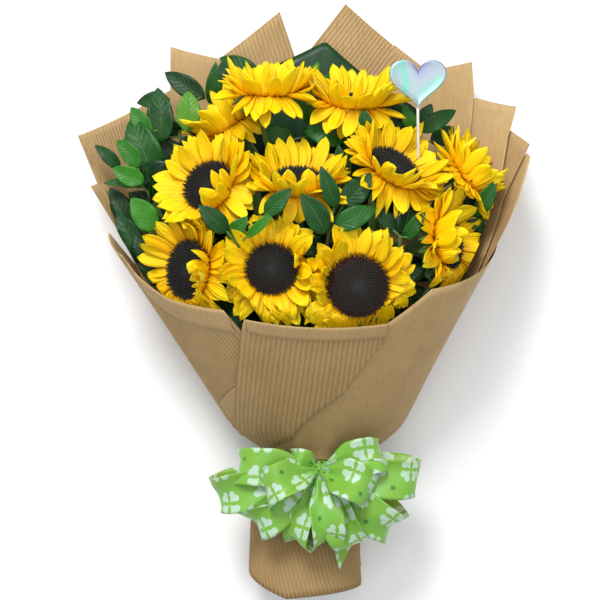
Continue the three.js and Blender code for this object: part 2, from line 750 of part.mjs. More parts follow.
for (const [name, sheet] of Object.entries(sheets)) {
  const outer = sheet.layer * wrap.layerStep;
  addPiece(name, wrapSheet(sheet, outer, outer - wrap.thickness), materials.paper);
}

const room = roomInside();
const sprigList = Object.values(sprigs);
const hardFat = [];

flowers.forEach((head, index) => {
  const label = `sunflower_${String(index + 1).padStart(2, '0')}`;
  addPiece(`${label}_stem`, geometryOf(stemSolid(head, 0)), materials.stem);
  addPiece(`${label}_disc`, seedDisc(head, 0), materials.disc);
  hardFat.push({ head, stem: stemSolid(head, clearance), disc: solidOf(seedDisc(head, clearance)) });
});

const stickFat = stickSolid(clearance);
addPiece('pick_stick', geometryOf(stickSolid(0)), materials.stick);
addPiece('pick_heart', heartGeometry(), materials.foil);

const broadLeafFat = broadLeafSolid(clearance);
addPiece('broad_leaf', geometryOf(broadLeafSolid(0).intersect(room)), materials.leaf);

const sprigStems = union(sprigList.map((sprig) => sprigStem(sprig, 0)));
const sprigStemsFat = union(sprigList.map((sprig) => sprigStem(sprig, clearance)));
const petalsFat = [];
flowers.forEach((head, index) => {
  let petals = petalSolid(head, 0).intersect(room).subtract(sprigStemsFat);
  petals = petals.subtract(stickFat).subtract(broadLeafFat);
  for (const fat of hardFat) {
    if (fat.head !== head) petals = petals.subtract(fat.stem).subtract(fat.disc);
  }
  addPiece(`sunflower_${String(index + 1).padStart(2, '0')}_petals`, geometryOf(petals), materials.petal);
  petalsFat.push(petalSolid(head, clearance).subtract(sprigStems));
});

const headsFat = hardFat.flatMap(({ stem, disc }) => [stem, disc]);
const hard = union([...headsFat, ...petalsFat, stickFat, broadLeafFat]);
let earlier = hard;
for (const [name, sprig] of Object.entries(sprigs)) {
  addPiece(`sprig_${name}`, geometryOf(sprigSolid(sprig, 0).intersect(room).subtract(earlier)), materials.leaf);
  earlier = earlier.add(sprigSolid(sprig, clearance));
}

const tieOffset = () => -tie.inset;
addPiece('stem_tie', band(tie.halfLength, tieOffset, () => -tie.inset - tie.thickness), materials.tie);
addPiece('ribbon_band', band(ribbon.bandHalfLength, ribbonOffset, (a) => ribbonOffset(a) - ribbon.thickness),
  materials.ribbon);
addPiece('ribbon_bow', geometryOf(bowSolid()), materials.ribbon);

// The origin is under the middle of the bunch, on the table.
const box = new THREE.Box3().setFromObject(bunch);
const middle = box.getCenter(new THREE.Vector3());
bunch.position.set(-middle.x, -middle.y, -box.min.z);

export default bunch;
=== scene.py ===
"""A bunch of eleven sunflowers with leafy sprigs, wrapped in kraft paper and tied with a bow.

The bunch lies on its back. Sizes are in millimetres in the layout's own axes: X to the right,
Y from the cut ends to the flowers with the tie at zero, and Z up from the table. Every mesh is
moved from there into the frame, whose stem tie gives the place of the layout's origin.
"""

import json
import logging
import math
from dataclasses import dataclass, field, replace
from enum import Enum
from typing import Sequence, Union

import bpy
import numpy as np
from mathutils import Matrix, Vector

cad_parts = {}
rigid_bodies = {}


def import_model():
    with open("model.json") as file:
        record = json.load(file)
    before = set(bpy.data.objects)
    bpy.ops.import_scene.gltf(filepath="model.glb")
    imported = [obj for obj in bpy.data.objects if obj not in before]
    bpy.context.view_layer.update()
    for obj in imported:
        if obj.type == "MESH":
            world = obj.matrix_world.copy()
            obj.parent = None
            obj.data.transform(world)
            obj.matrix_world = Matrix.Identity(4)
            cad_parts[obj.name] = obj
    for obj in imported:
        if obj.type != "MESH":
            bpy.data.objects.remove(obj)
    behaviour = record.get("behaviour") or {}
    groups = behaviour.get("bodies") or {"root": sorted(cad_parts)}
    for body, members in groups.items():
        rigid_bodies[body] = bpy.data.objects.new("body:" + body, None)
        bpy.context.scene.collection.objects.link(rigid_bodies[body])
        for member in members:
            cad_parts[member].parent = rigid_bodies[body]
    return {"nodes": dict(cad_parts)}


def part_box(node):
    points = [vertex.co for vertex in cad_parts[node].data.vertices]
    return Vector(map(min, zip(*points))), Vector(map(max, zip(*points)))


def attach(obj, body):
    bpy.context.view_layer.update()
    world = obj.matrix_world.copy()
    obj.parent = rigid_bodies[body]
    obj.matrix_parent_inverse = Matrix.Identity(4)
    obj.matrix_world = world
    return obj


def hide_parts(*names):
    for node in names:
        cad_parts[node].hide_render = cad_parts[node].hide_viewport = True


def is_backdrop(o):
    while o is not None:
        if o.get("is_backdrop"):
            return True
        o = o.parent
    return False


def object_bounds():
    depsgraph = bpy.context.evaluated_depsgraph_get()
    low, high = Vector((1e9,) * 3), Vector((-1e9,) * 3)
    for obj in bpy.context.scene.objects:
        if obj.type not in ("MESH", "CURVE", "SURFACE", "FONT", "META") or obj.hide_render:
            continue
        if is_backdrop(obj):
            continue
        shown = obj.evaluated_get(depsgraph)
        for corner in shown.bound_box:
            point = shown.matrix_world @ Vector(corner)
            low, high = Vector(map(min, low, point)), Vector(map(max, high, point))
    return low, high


logging.basicConfig(level=logging.INFO, format="%(message)s")
log = logging.getLogger("bunch")

MM = 0.001
FULL_TURN = 2.0 * math.pi
GOLDEN_ANGLE = math.pi * (3.0 - math.sqrt(5.0))
BODY = "root"

Point = tuple[float, float, float]
Corner = tuple[float, float]
Color = tuple[float, float, float, float]
Socket = bpy.types.NodeSocket
Value = Union[Socket, float]


class Slot(Enum):
    """The record's material slots."""

    PETAL = "petal"
    SEED_DISC = "seed_disc"
    STEM = "stem"
    LEAF = "leaf"
    BROAD_LEAF = "broad_leaf"
    KRAFT = "kraft_paper"
    RIBBON = "ribbon"
    TIE = "tie"
    FOIL = "foil"
    STICK = "pick_stick"


# ---------------------------------------------------------------- small mathematics


def smoothstep(low: float, high: float, value: np.ndarray) -> np.ndarray:
    """Rises from 0 at low to 1 at high, with level ends."""
    share = np.clip((np.asarray(value, float) - low) / (high - low), 0.0, 1.0)
    return share * share * (3.0 - 2.0 * share)


def unit(vector: Sequence[float]) -> np.ndarray:
    """A vector of length one."""
    array = np.asarray(vector, float)
    return array / np.linalg.norm(array)


def rotated(vector: np.ndarray, axis: np.ndarray, angle: float) -> np.ndarray:
    """A vector turned about a unit axis by an angle in radians."""
    turned = vector * math.cos(angle) + np.cross(axis, vector) * math.sin(angle)
    return turned + axis * np.dot(axis, vector) * (1.0 - math.cos(angle))


def smooth_path(points: Sequence[Sequence[float]], count: int) -> np.ndarray:
    """Resamples a line of points as a smooth curve through them.

    Args:
        points: The points that the curve passes.
        count: How many points the result has.

    Returns:
        An array of count points.
    """
    knots = np.asarray(points, float)
    padded = np.vstack([2 * knots[0] - knots[1], knots, 2 * knots[-1] - knots[-2]])
    place = np.linspace(0.0, len(knots) - 1.0, count)
    leg = np.minimum(place.astype(int), len(knots) - 2)
    t = (place - leg)[:, None]
    a, b, c, d = (padded[leg + shift] for shift in range(4))
    return 0.5 * (2 * b + (c - a) * t + (2 * a - 5 * b + 4 * c - d) * t**2 + (3 * b - a - 3 * c + d) * t**3)


def srgb(red: int, green: int, blue: int) -> Color:
    """A colour from its 8-bit screen values.

    Args:
        red: From 0 to 255.
        green: From 0 to 255.
        blue: From 0 to 255.

    Returns:
        The linear colour with full cover.
    """
    shares = (channel / 255.0 for channel in (red, green, blue))
    linear = [c / 12.92 if c <= 0.04045 else ((c + 0.055) / 1.055) ** 2.4 for c in shares]
    return linear[0], linear[1], linear[2], 1.0


# ---------------------------------------------------------------- meshes


@dataclass
class Surface:
    """Points, four-cornered faces and per-point values of a closed mesh."""

    points: np.ndarray
    faces: np.ndarray
    edge_faces: int = 0
    uv: np.ndarray | None = None
    values: dict[str, np.ndarray] = field(default_factory=dict)

    @staticmethod
    def joined(parts: Sequence["Surface"]) -> "Surface":
        """One surface from several; their rim faces stay last.

        Args:
            parts: Surfaces that carry the same values.

        Returns:
            The joined surface.
        """
        starts = np.cumsum([0] + [len(part.points) for part in parts[:-1]])
        inner = [p.faces[: len(p.faces) - p.edge_faces] + s for p, s in zip(parts, starts)]
        edges = [p.faces[len(p.faces) - p.edge_faces:] + s for p, s in zip(parts, starts)]
        uv = None if parts[0].uv is None else np.vstack([part.uv for part in parts])
        values = {key: np.concatenate([part.values[key] for part in parts]) for key in parts[0].values}
        faces = np.vstack(inner + edges)
        return Surface(np.vstack([p.points for p in parts]), faces, sum(map(len, edges)), uv, values)


def shell(
    front: np.ndarray, back: np.ndarray, uv: np.ndarray | None = None, **values: np.ndarray | float
) -> Surface:
    """A closed skin round two matching grids of points.

    Args:
        front: Points of one side, as rows, columns, xyz.
        back: Points of the other side, in the same order.
        uv: Pattern coordinates of the grid, as rows, columns, uv.
        values: Named numbers, or grids of numbers, that the points carry.

    Returns:
        The surface with its faces pointing out and its rim faces last.
    """
    rows, columns = front.shape[:2]
    index = np.arange(rows * columns).reshape(rows, columns)
    quads = np.stack([index[:-1, :-1], index[:-1, 1:], index[1:, 1:], index[1:, :-1]], -1).reshape(-1, 4)
    far = index + rows * columns
    far_quads = np.stack([far[:-1, :-1], far[1:, :-1], far[1:, 1:], far[:-1, 1:]], -1).reshape(-1, 4)
    rim = np.concatenate([index[0, :-1], index[:-1, -1], index[-1, :0:-1], index[:0:-1, 0]])
    after = np.roll(rim, -1)
    side = np.stack([after, rim, rim + rows * columns, after + rows * columns], -1)
    points = np.vstack([front.reshape(-1, 3), back.reshape(-1, 3)])
    faces = np.vstack([quads, far_quads, side])
    corner = points[faces]
    volume = np.einsum("ij,ij->", corner[:, 0], np.cross(corner[:, 1], corner[:, 2]))
    volume += np.einsum("ij,ij->", corner[:, 0], np.cross(corner[:, 2], corner[:, 3]))
    if volume < 0.0:
        faces = faces[:, ::-1]
    flat_uv = None if uv is None else np.vstack([uv.reshape(-1, 2)] * 2)
    grids = {key: np.broadcast_to(value, (rows, columns)).ravel() for key, value in values.items()}
    named = {key: np.concatenate([grid, grid]) for key, grid in grids.items()}
    return Surface(points, faces, len(side), flat_uv, named)


def lathe(profile: Sequence[Corner], sides: int) -> Surface:
    """A closed solid of revolution about Z, from a profile that starts and ends on the axis.

    Args:
        profile: Radius and height pairs from the bottom pole to the top pole.
        sides: Points round the axis.

    Returns:
        The surface, with its poles closed by narrow faces.
    """
    radii, heights = (np.array(column, float) for column in zip(*profile))
    radii = np.maximum(radii, 0.02)
    turn = np.arange(sides) * FULL_TURN / sides
    ring = np.stack([np.outer(radii, np.cos(turn)), np.outer(radii, np.sin(turn))], -1)
    points = np.concatenate([ring, np.repeat(heights[:, None, None], sides, 1)], -1).reshape(-1, 3)
    index = np.arange(len(points)).reshape(len(radii), sides)
    after = np.roll(index, -1, axis=1)
    walls = np.stack([index[:-1], after[:-1], after[1:], index[1:]], -1).reshape(-1, 4)
    caps = []
    for row, order in ((index[0], -1), (index[-1], 1)):
        for start in range(1, sides - 2, 2):
            caps.append([row[0], row[start], row[start + 1], row[start + 2]][::order])
    return Surface(points, np.vstack([walls, np.array(caps)]), 0)


def mesh_of(name: str, surface: Surface, finish: bpy.types.Material | None = None) -> bpy.types.Mesh:
    """A Blender mesh with the surface's points, UV map and named values.

    Args:
        name: The mesh's name.
        surface: What the mesh holds, in any unit.
        finish: The material, or None for a form that takes one later.

    Returns:
        The mesh, smooth but for its rim faces.
    """
    mesh = bpy.data.meshes.new(name)
    mesh.vertices.add(len(surface.points))
    mesh.vertices.foreach_set("co", surface.points.astype(np.float32).ravel())
    mesh.loops.add(surface.faces.size)
    mesh.loops.foreach_set("vertex_index", surface.faces.astype(np.int32).ravel())
    mesh.polygons.add(len(surface.faces))
    mesh.polygons.foreach_set("loop_start", np.arange(0, surface.faces.size, 4, dtype=np.int32))
    smooth = np.ones(len(surface.faces), bool)
    smooth[len(smooth) - surface.edge_faces:] = False
    mesh.polygons.foreach_set("use_smooth", smooth)
    if surface.uv is not None:
        layer = mesh.uv_layers.new(name="UVMap")
        layer.data.foreach_set("uv", surface.uv[surface.faces.ravel()].astype(np.float32).ravel())
    for key, values in surface.values.items():
        attribute = mesh.attributes.new(key, "FLOAT", "POINT")
        attribute.data.foreach_set("value", values.astype(np.float32))
    if finish is not None:
        mesh.materials.append(finish)
    mesh.update(calc_edges=True)
    mesh.validate()
    return mesh


def line_mesh(name: str, lines: Sequence[np.ndarray], girths: Sequence[float]) -> bpy.types.Mesh:
    """Polylines as a mesh of edges, each point with the girth of the stalk along its line.

    Args:
        name: The mesh's name.
        lines: The points of each line.
        girths: Each line's radius.

    Returns:
        A mesh without faces.
    """
    edges: list[tuple[int, int]] = []
    start = 0
    for line in lines:
        edges += [(start + i, start + i + 1) for i in range(len(line) - 1)]
        start += len(line)
    mesh = bpy.data.meshes.new(name)
    mesh.from_pydata(np.vstack(lines).tolist(), edges, [])
    attribute = mesh.attributes.new("girth", "FLOAT", "POINT")
    girth = np.concatenate([np.full(len(line), g) for line, g in zip(lines, girths)])
    attribute.data.foreach_set("value", girth.astype(np.float32))
    return mesh


def read_points(mesh: bpy.types.Mesh) -> np.ndarray:
    """A mesh's points as an array.

    Args:
        mesh: The mesh.

    Returns:
        One row of three numbers for each point.
    """
    flat = np.zeros(len(mesh.vertices) * 3, np.float32)
    mesh.vertices.foreach_get("co", flat)
    return flat.reshape(-1, 3).astype(float)


def write_points(mesh: bpy.types.Mesh, points: np.ndarray) -> None:
    """Gives a mesh's points new places."""
    mesh.vertices.foreach_set("co", points.astype(np.float32).ravel())
    mesh.update()


class Layout:
    """The layout's place in the frame, and the pieces that are put there."""

    def __init__(self) -> None:
        """Finds the layout's origin under the middle of the stem tie."""
        low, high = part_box("stem_tie")
        self.anchor = np.array([(low.x + high.x) / 2.0, (low.y + high.y) / 2.0, 0.0])
        self.count = 0

    def node_points(self, node: str) -> np.ndarray:
        """The corners of a frame node in layout millimetres, each once."""
        points = read_points(FRAME["nodes"][node].data)
        return np.unique(np.round((points - self.anchor) / MM, 4), axis=0)

    def node_box(self, node: str) -> tuple[np.ndarray, np.ndarray]:
        """The lowest and highest corner of a frame node in layout millimetres."""
        low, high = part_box(node)
        return (np.array(low) - self.anchor) / MM, (np.array(high) - self.anchor) / MM

    def place(
        self, name: str, mesh: bpy.types.Mesh, slot: Slot, nodes: Sequence[str] = ()
    ) -> bpy.types.Object:
        """Moves a mesh from layout millimetres into the frame and makes it a finished piece.

        Args:
            name: The piece's name.
            mesh: The mesh, in layout millimetres.
            slot: The record's slot for its finish; not used.
            nodes: The frame nodes that it stands for.

        Returns:
            The finished piece.
        """
        write_points(mesh, read_points(mesh) * MM + self.anchor)
        piece = bpy.data.objects.new(name, mesh)
        bpy.context.scene.collection.objects.link(piece)
        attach(piece, BODY)
        if nodes:
            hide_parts(*nodes)
        self.count += 1
        log.info("%s: %d faces", name, len(mesh.polygons))
        return piece


# ---------------------------------------------------------------- node trees


class Wiring:
    """Adds nodes to a tree and links them."""

    tree: bpy.types.NodeTree

    def add(self, kind: str, inputs: dict | None = None, out: int | str = 0, **settings: object) -> Socket:
        """Adds a node, sets its properties and links or sets its inputs.

        Args:
            kind: The node's type.
            inputs: Each socket's name or number, and a socket or a constant.
            out: The output that is returned.
            settings: The node's properties.

        Returns:
            The chosen output socket.
        """
        node = self.tree.nodes.new(kind)
        for key, value in settings.items():
            setattr(node, key, value)
        for key, value in (inputs or {}).items():
            if isinstance(value, Socket):
                self.tree.links.new(value, node.inputs[key])
            else:
                node.inputs[key].default_value = value
        return node.outputs[out]

    def math(self, operation: str, *values: Value, clamp: bool = False) -> Socket:
        """A Math node's result."""
        return self.add("ShaderNodeMath", dict(enumerate(values)), operation=operation, use_clamp=clamp)


class Growth(Wiring):
    """A Geometry Nodes tree with named inputs, and the meshes that it grows."""

    SOCKETS = {
        float: "NodeSocketFloat",
        int: "NodeSocketInt",
        bpy.types.Material: "NodeSocketMaterial",
        bpy.types.Collection: "NodeSocketCollection",
    }

    def __init__(self, name: str, inputs: dict[str, object]) -> None:
        """Makes the tree with its inputs.

        Args:
            name: The tree's name.
            inputs: Each input's name, and its default or its type.
        """
        self.tree = bpy.data.node_groups.new(name, "GeometryNodeTree")
        face = self.tree.interface
        face.new_socket(name="Geometry", in_out="INPUT", socket_type="NodeSocketGeometry")
        for key, value in inputs.items():
            kind = value if isinstance(value, type) else type(value)
            socket = face.new_socket(name=key, in_out="INPUT", socket_type=self.SOCKETS[kind])
            if not isinstance(value, type):
                socket.default_value = value
        face.new_socket(name="Geometry", in_out="OUTPUT", socket_type="NodeSocketGeometry")
        self.source = self.tree.nodes.new("NodeGroupInput").outputs

    def chance(self, low: Value, high: Value, shift: float = 0.0) -> Socket:
        """A random number for each point; a shift of the tree's seed keeps draws apart."""
        seed = self.math("ADD", self.source["Seed"], shift)
        return self.add("FunctionNodeRandomValue", {2: low, 3: high, 8: seed}, out=1, data_type="FLOAT")

    def vector(self, x: Value, y: Value, z: Value) -> Socket:
        """A vector from its three numbers."""
        return self.add("ShaderNodeCombineXYZ", {0: x, 1: y, 2: z})

    def polar(self, radius: Value, azimuth: Value, height: Value) -> Socket:
        """A place from its distance, its direction and its height."""
        turned = (self.math(kind, azimuth) for kind in ("COSINE", "SINE"))
        return self.vector(*(self.math("MULTIPLY", radius, share) for share in turned), height)

    def points(self, place: Socket) -> Socket:
        """A point at each place, as many as the tree's count."""
        inputs = {"Count": self.source["Count"], "Position": place, "Radius": 0.1}
        return self.add("GeometryNodePoints", inputs)

    def scatter(
        self, points: Socket, rotation: Socket, scale: Socket, pick_shift: float, key: str, value: Socket
    ) -> Socket:
        """Sets a picked form on each point, with one number that the whole form carries.

        Args:
            points: Where the forms stand.
            rotation: Each form's turn.
            scale: Each form's size.
            pick_shift: The shift of the seed for the choice of form.
            key: The number's name.
            value: The number.

        Returns:
            The forms as instances.
        """
        source = self.source
        shapes = self.add(
            "GeometryNodeCollectionInfo",
            {"Collection": source["Forms"], "Separate Children": True, "Reset Children": True},
        )
        pick = self.math("FLOOR", self.chance(0.0, source["Form Count"], pick_shift))
        copies = self.add("GeometryNodeInstanceOnPoints", {
            "Points": points, "Instance": shapes, "Pick Instance": True, "Instance Index": pick,
            "Rotation": rotation, "Scale": scale,
        })
        return self.add(
            "GeometryNodeStoreNamedAttribute", {"Geometry": copies, "Name": key, "Value": value},
            domain="INSTANCE", data_type="FLOAT",
        )

    def finish(self, grown: Socket, with_base: bool = False) -> None:
        """Ends the tree with Realize Instances and Set Material.

        Args:
            grown: What the tree has made.
            with_base: Whether the mesh that went in comes out too.
        """
        if with_base:
            join = self.tree.nodes.new("GeometryNodeJoinGeometry")
            for part in (grown, self.source["Geometry"]):
                self.tree.links.new(part, join.inputs[0])
            grown = join.outputs[0]
        solid = self.add("GeometryNodeRealizeInstances", {0: grown})
        painted = self.add("GeometryNodeSetMaterial", {"Geometry": solid, "Material": self.source["Finish"]})
        self.tree.links.new(painted, self.tree.nodes.new("NodeGroupOutput").inputs[0])

    def grow(self, name: str, base: bpy.types.Mesh | None = None, **values: object) -> bpy.types.Mesh:
        """Runs the tree on a mesh and returns the plain mesh that comes out.

        Args:
            name: The new mesh's name.
            base: The mesh that goes into the tree.
            values: The inputs, with underscores for the spaces in their names.

        Returns:
            The grown mesh, with no modifier left.
        """
        holder = bpy.data.objects.new(name, base or bpy.data.meshes.new(name))
        bpy.context.scene.collection.objects.link(holder)
        modifier = holder.modifiers.new("growth", "NODES")
        modifier.node_group = self.tree
        wanted = {key.replace("_", " "): value for key, value in values.items()}
        for item in self.tree.interface.items_tree:
            if item.in_out == "INPUT" and item.name in wanted:
                modifier[item.identifier] = wanted.pop(item.name)
        if wanted:
            raise KeyError(f"{self.tree.name} has no input {sorted(wanted)}")
        holder.update_tag()
        graph = bpy.context.evaluated_depsgraph_get()
        graph.update()
        mesh = bpy.data.meshes.new_from_object(
            holder.evaluated_get(graph), preserve_all_data_layers=True, depsgraph=graph
        )
        holder.modifiers.remove(modifier)
        bpy.data.objects.remove(holder)
        mesh.name = name
        return mesh


def forms(name: str, surfaces: Sequence[Surface]) -> bpy.types.Collection:
    """A collection of forms that a tree picks from, outside the scene.

    Args:
        name: The collection's name.
        surfaces: The forms, in their order of choice.

    Returns:
        The collection.
    """
    collection = bpy.data.collections.new(name)
    for number, surface in enumerate(surfaces):
        label = f"{name}_{number}"
        collection.objects.link(bpy.data.objects.new(label, mesh_of(label, surface)))
    return collection


def clear_forms() -> None:
    """Removes the forms once everything has grown."""
    for collection in list(bpy.data.collections):
        if collection.name.startswith("form_"):
            for item in list(collection.objects):
                bpy.data.objects.remove(item)
            bpy.data.collections.remove(collection)


def ring_growth() -> Growth:
    """The tree that sets petals or bracts round a flower's disc, in two rows.

    Returns:
        The tree.
    """
    g = Growth("petal_ring", {
        "Forms": bpy.types.Collection, "Finish": bpy.types.Material, "Count": 40, "Seed": 1,
        "Radius": 28.0, "Height": 3.0, "Row Drop": 1.6, "Row Inset": 1.5, "Tilt": 0.4, "Row Tilt": 0.25,
        "Tilt Jitter": 0.15, "Roll Jitter": 0.28, "Length": 1.0, "Width": 1.0, "Fold Azimuth": 0.0,
        "Fold Amount": 0.0, "Fold Edge": 0.2, "Droop": 0.0, "Turn Jitter": 0.08, "Form Count": 6.0,
    })
    s = g.source
    index = g.add("GeometryNodeInputIndex")
    row = g.math("MODULO", index, 2.0)

    def lowered(value: Value, change: Value) -> Socket:
        """A value, less its change in the second row."""
        return g.math("SUBTRACT", value, g.math("MULTIPLY", row, change))

    jitter = g.math("MULTIPLY", g.chance(-1.0, 1.0), s["Turn Jitter"])
    azimuth = g.math("MULTIPLY_ADD", index, g.math("DIVIDE", FULL_TURN, s["Count"]), jitter)
    place = g.polar(lowered(s["Radius"], s["Row Inset"]), azimuth, lowered(s["Height"], s["Row Drop"]))
    fold = g.add(
        "ShaderNodeMapRange",
        {
            "Value": g.math("COSINE", g.math("SUBTRACT", azimuth, s["Fold Azimuth"])),
            "From Min": s["Fold Edge"], "From Max": 1.0,
        },
        interpolation_type="SMOOTHSTEP",
    )
    inner = g.math("MULTIPLY", g.math("SUBTRACT", 1.0, row), s["Fold Amount"])
    shake = g.math("MULTIPLY", g.chance(-1.0, 1.0, 11.0), s["Tilt Jitter"])
    lean = g.math("ADD", lowered(s["Tilt"], s["Row Tilt"]), shake)
    tilt = g.math("MULTIPLY_ADD", fold, lowered(inner, s["Droop"]), lean)
    roll = g.math("MULTIPLY", g.chance(-1.0, 1.0, 23.0), s["Roll Jitter"])
    rotation = g.vector(roll, g.math("MULTIPLY", tilt, -1.0), azimuth)
    long = g.math("MULTIPLY", s["Length"], g.chance(0.82, 1.08, 31.0))
    wide = g.math("MULTIPLY", s["Width"], g.chance(0.8, 1.15, 43.0))
    shade = g.chance(0.0, 1.0, 71.0)
    ring = g.scatter(g.points(place), rotation, g.vector(long, wide, long), 57.0, "shade", shade)
    g.finish(ring, with_base=True)
    return g


def floret_growth() -> Growth:
    """The tree that packs florets over a disc in the spiral of a sunflower.

    Returns:
        The tree.
    """
    g = Growth("floret_spiral", {
        "Forms": bpy.types.Collection, "Finish": bpy.types.Material, "Count": 400, "Seed": 3,
        "Radius": 27.0, "Dome": 4.0, "Foot": 3.0, "Splay": 0.7, "Form Count": 3.0,
    })
    s = g.source
    index = g.add("GeometryNodeInputIndex")
    share = g.math("SQRT", g.math("DIVIDE", g.math("ADD", index, 0.5), s["Count"]))
    azimuth = g.math("MULTIPLY", index, GOLDEN_ANGLE)
    bulge = g.math("SUBTRACT", 1.0, g.math("POWER", share, 3.0))
    height = g.math("MULTIPLY_ADD", bulge, s["Dome"], s["Foot"])
    place = g.polar(g.math("MULTIPLY", share, s["Radius"]), azimuth, height)
    rim = g.math("POWER", share, 5.0)
    lean = g.math("MULTIPLY_ADD", rim, s["Splay"], g.chance(-0.2, 0.2))
    rotation = g.vector(g.chance(-0.2, 0.2, 5.0), lean, azimuth)
    size = g.math("MULTIPLY", g.math("MULTIPLY_ADD", share, 0.5, 0.62), g.chance(0.85, 1.15, 6.0))
    tall = g.math("MULTIPLY", size, g.math("MULTIPLY_ADD", rim, 1.1, 0.8))
    ring = g.math("ADD", share, g.chance(-0.05, 0.05, 26.0))
    florets = g.scatter(g.points(place), rotation, g.vector(size, size, tall), 14.0, "ring", ring)
    g.finish(florets, with_base=True)
    return g


def stalk_growth() -> Growth:
    """The tree that makes round stalks along lines, as thick as each line's girth.

    Returns:
        The tree.
    """
    g = Growth("stalks", {"Finish": bpy.types.Material, "Sides": 10})
    line = g.add("GeometryNodeMeshToCurve", {"Mesh": g.source["Geometry"]})
    girth = g.add("GeometryNodeInputNamedAttribute", {"Name": "girth"}, data_type="FLOAT")
    circle = {"Resolution": g.source["Sides"], "Radius": 1.0}
    section = g.add("GeometryNodeCurvePrimitiveCircle", circle, mode="RADIUS")
    sweep = {"Curve": line, "Profile Curve": section, "Scale": girth, "Fill Caps": True}
    g.finish(g.add("GeometryNodeCurveToMesh", sweep))
    return g


def spray_growth() -> Growth:
    """The tree that sets leaves along a sprig's stem.

    Returns:
        The tree.
    """
    g = Growth("leaf_spray", {
        "Forms": bpy.types.Collection, "Finish": bpy.types.Material, "Count": 8, "Seed": 1,
        "Heading": 1.57, "Spread": 1.2, "Smallest": 0.75, "Largest": 1.15, "Form Count": 4.0,
        "Darkest": 0.0, "Palest": 0.4,
    })
    s = g.source
    line = g.add("GeometryNodeMeshToCurve", {"Mesh": s["Geometry"]})
    points = g.add("GeometryNodeResampleCurve", {"Curve": line, "Count": s["Count"]})
    heading = g.math("MULTIPLY_ADD", g.chance(-1.0, 1.0), s["Spread"], s["Heading"])
    rotation = g.vector(g.chance(-0.6, 0.6, 7.0), g.chance(-0.7, 0.25, 13.0), heading)
    size = g.chance(s["Smallest"], s["Largest"], 19.0)
    tone = g.chance(s["Darkest"], s["Palest"], 37.0)
    g.finish(g.scatter(points, rotation, g.vector(size, size, size), 27.0, "tone", tone))
    return g


# ---------------------------------------------------------------- finishes


class Paint(Wiring):
    """The nodes of one material, round a Principled shader."""

    def __init__(self, name: str, **shader: object) -> None:
        """Makes the material.

        Args:
            name: The material's name.
            shader: Constant shader inputs, with underscores for the spaces in their names.
        """
        self.material = bpy.data.materials.new(name)
        self.material.use_nodes = True
        self.tree = self.material.node_tree
        self.shader = self.tree.nodes["Principled BSDF"]
        for key, value in shader.items():
            self.shader.inputs[key.replace("_", " ")].default_value = value

    def place(self) -> Socket:
        """Object coordinates, in metres."""
        return self.add("ShaderNodeTexCoord", out="Object")

    def uv(self) -> tuple[Socket, Socket]:
        """The two pattern coordinates as separate numbers.

        Returns:
            The number across and the number along.
        """
        split = self.tree.nodes.new("ShaderNodeSeparateXYZ")
        self.tree.links.new(self.add("ShaderNodeUVMap", uv_map="UVMap"), split.inputs[0])
        return split.outputs[0], split.outputs[1]

    def value_of(self, attribute: str) -> Socket:
        """A named value of the mesh."""
        return self.add("ShaderNodeAttribute", out="Fac", attribute_name=attribute)

    def noise(
        self, scale: float, detail: float = 2.0, vector: Socket | None = None,
        stretch: Point = (1.0, 1.0, 1.0),
    ) -> Socket:
        """Noise from 0 to 1 in stretched coordinates.

        Args:
            scale: How fine it is, for each metre.
            detail: Its octaves.
            vector: Other coordinates than the object's.
            stretch: A factor for each axis.

        Returns:
            The noise.
        """
        source = self.place() if vector is None else vector
        mapped = self.add("ShaderNodeMapping", {"Vector": source, "Scale": stretch})
        return self.add("ShaderNodeTexNoise", {"Vector": mapped, "Scale": scale, "Detail": detail})

    def ramp(self, factor: Socket, stops: Sequence[tuple[float, Color]]) -> Socket:
        """A colour ramp with the given stops.

        Args:
            factor: The place along the ramp.
            stops: Each stop's place and colour.

        Returns:
            The colour.
        """
        node = self.tree.nodes.new("ShaderNodeValToRGB")
        self.tree.links.new(factor, node.inputs[0])
        band = node.color_ramp.elements
        while len(band) < len(stops):
            band.new(0.5)
        for element, (position, color) in zip(band, stops):
            element.position = position
            element.color = color
        return node.outputs[0]

    def mix(self, factor: Value, first: Socket | Color, second: Socket | Color) -> Socket:
        """A colour between two colours.

        Args:
            factor: The share of the second colour.
            first: A colour.
            second: Another colour.

        Returns:
            The mixed colour.
        """
        return self.add("ShaderNodeMix", {0: factor, 6: first, 7: second}, out=2, data_type="RGBA")

    def color(self, socket: Socket) -> None:
        """Sets the base colour."""
        self.tree.links.new(socket, self.shader.inputs["Base Color"])

    def roughness(self, socket: Socket, low: float, high: float) -> None:
        """Sets a roughness that varies between two numbers.

        Args:
            socket: A number from 0 to 1.
            low: The roughness at 0.
            high: The roughness at 1.
        """
        inputs = {"Value": socket, "To Min": low, "To Max": high}
        ranged = self.add("ShaderNodeMapRange", inputs)
        self.tree.links.new(ranged, self.shader.inputs["Roughness"])

    def bump(self, height: Socket, strength: float, distance_mm: float) -> None:
        """Adds a fine relief."""
        inputs = {"Height": height, "Strength": strength, "Distance": distance_mm * MM}
        self.tree.links.new(self.add("ShaderNodeBump", inputs), self.shader.inputs["Normal"])


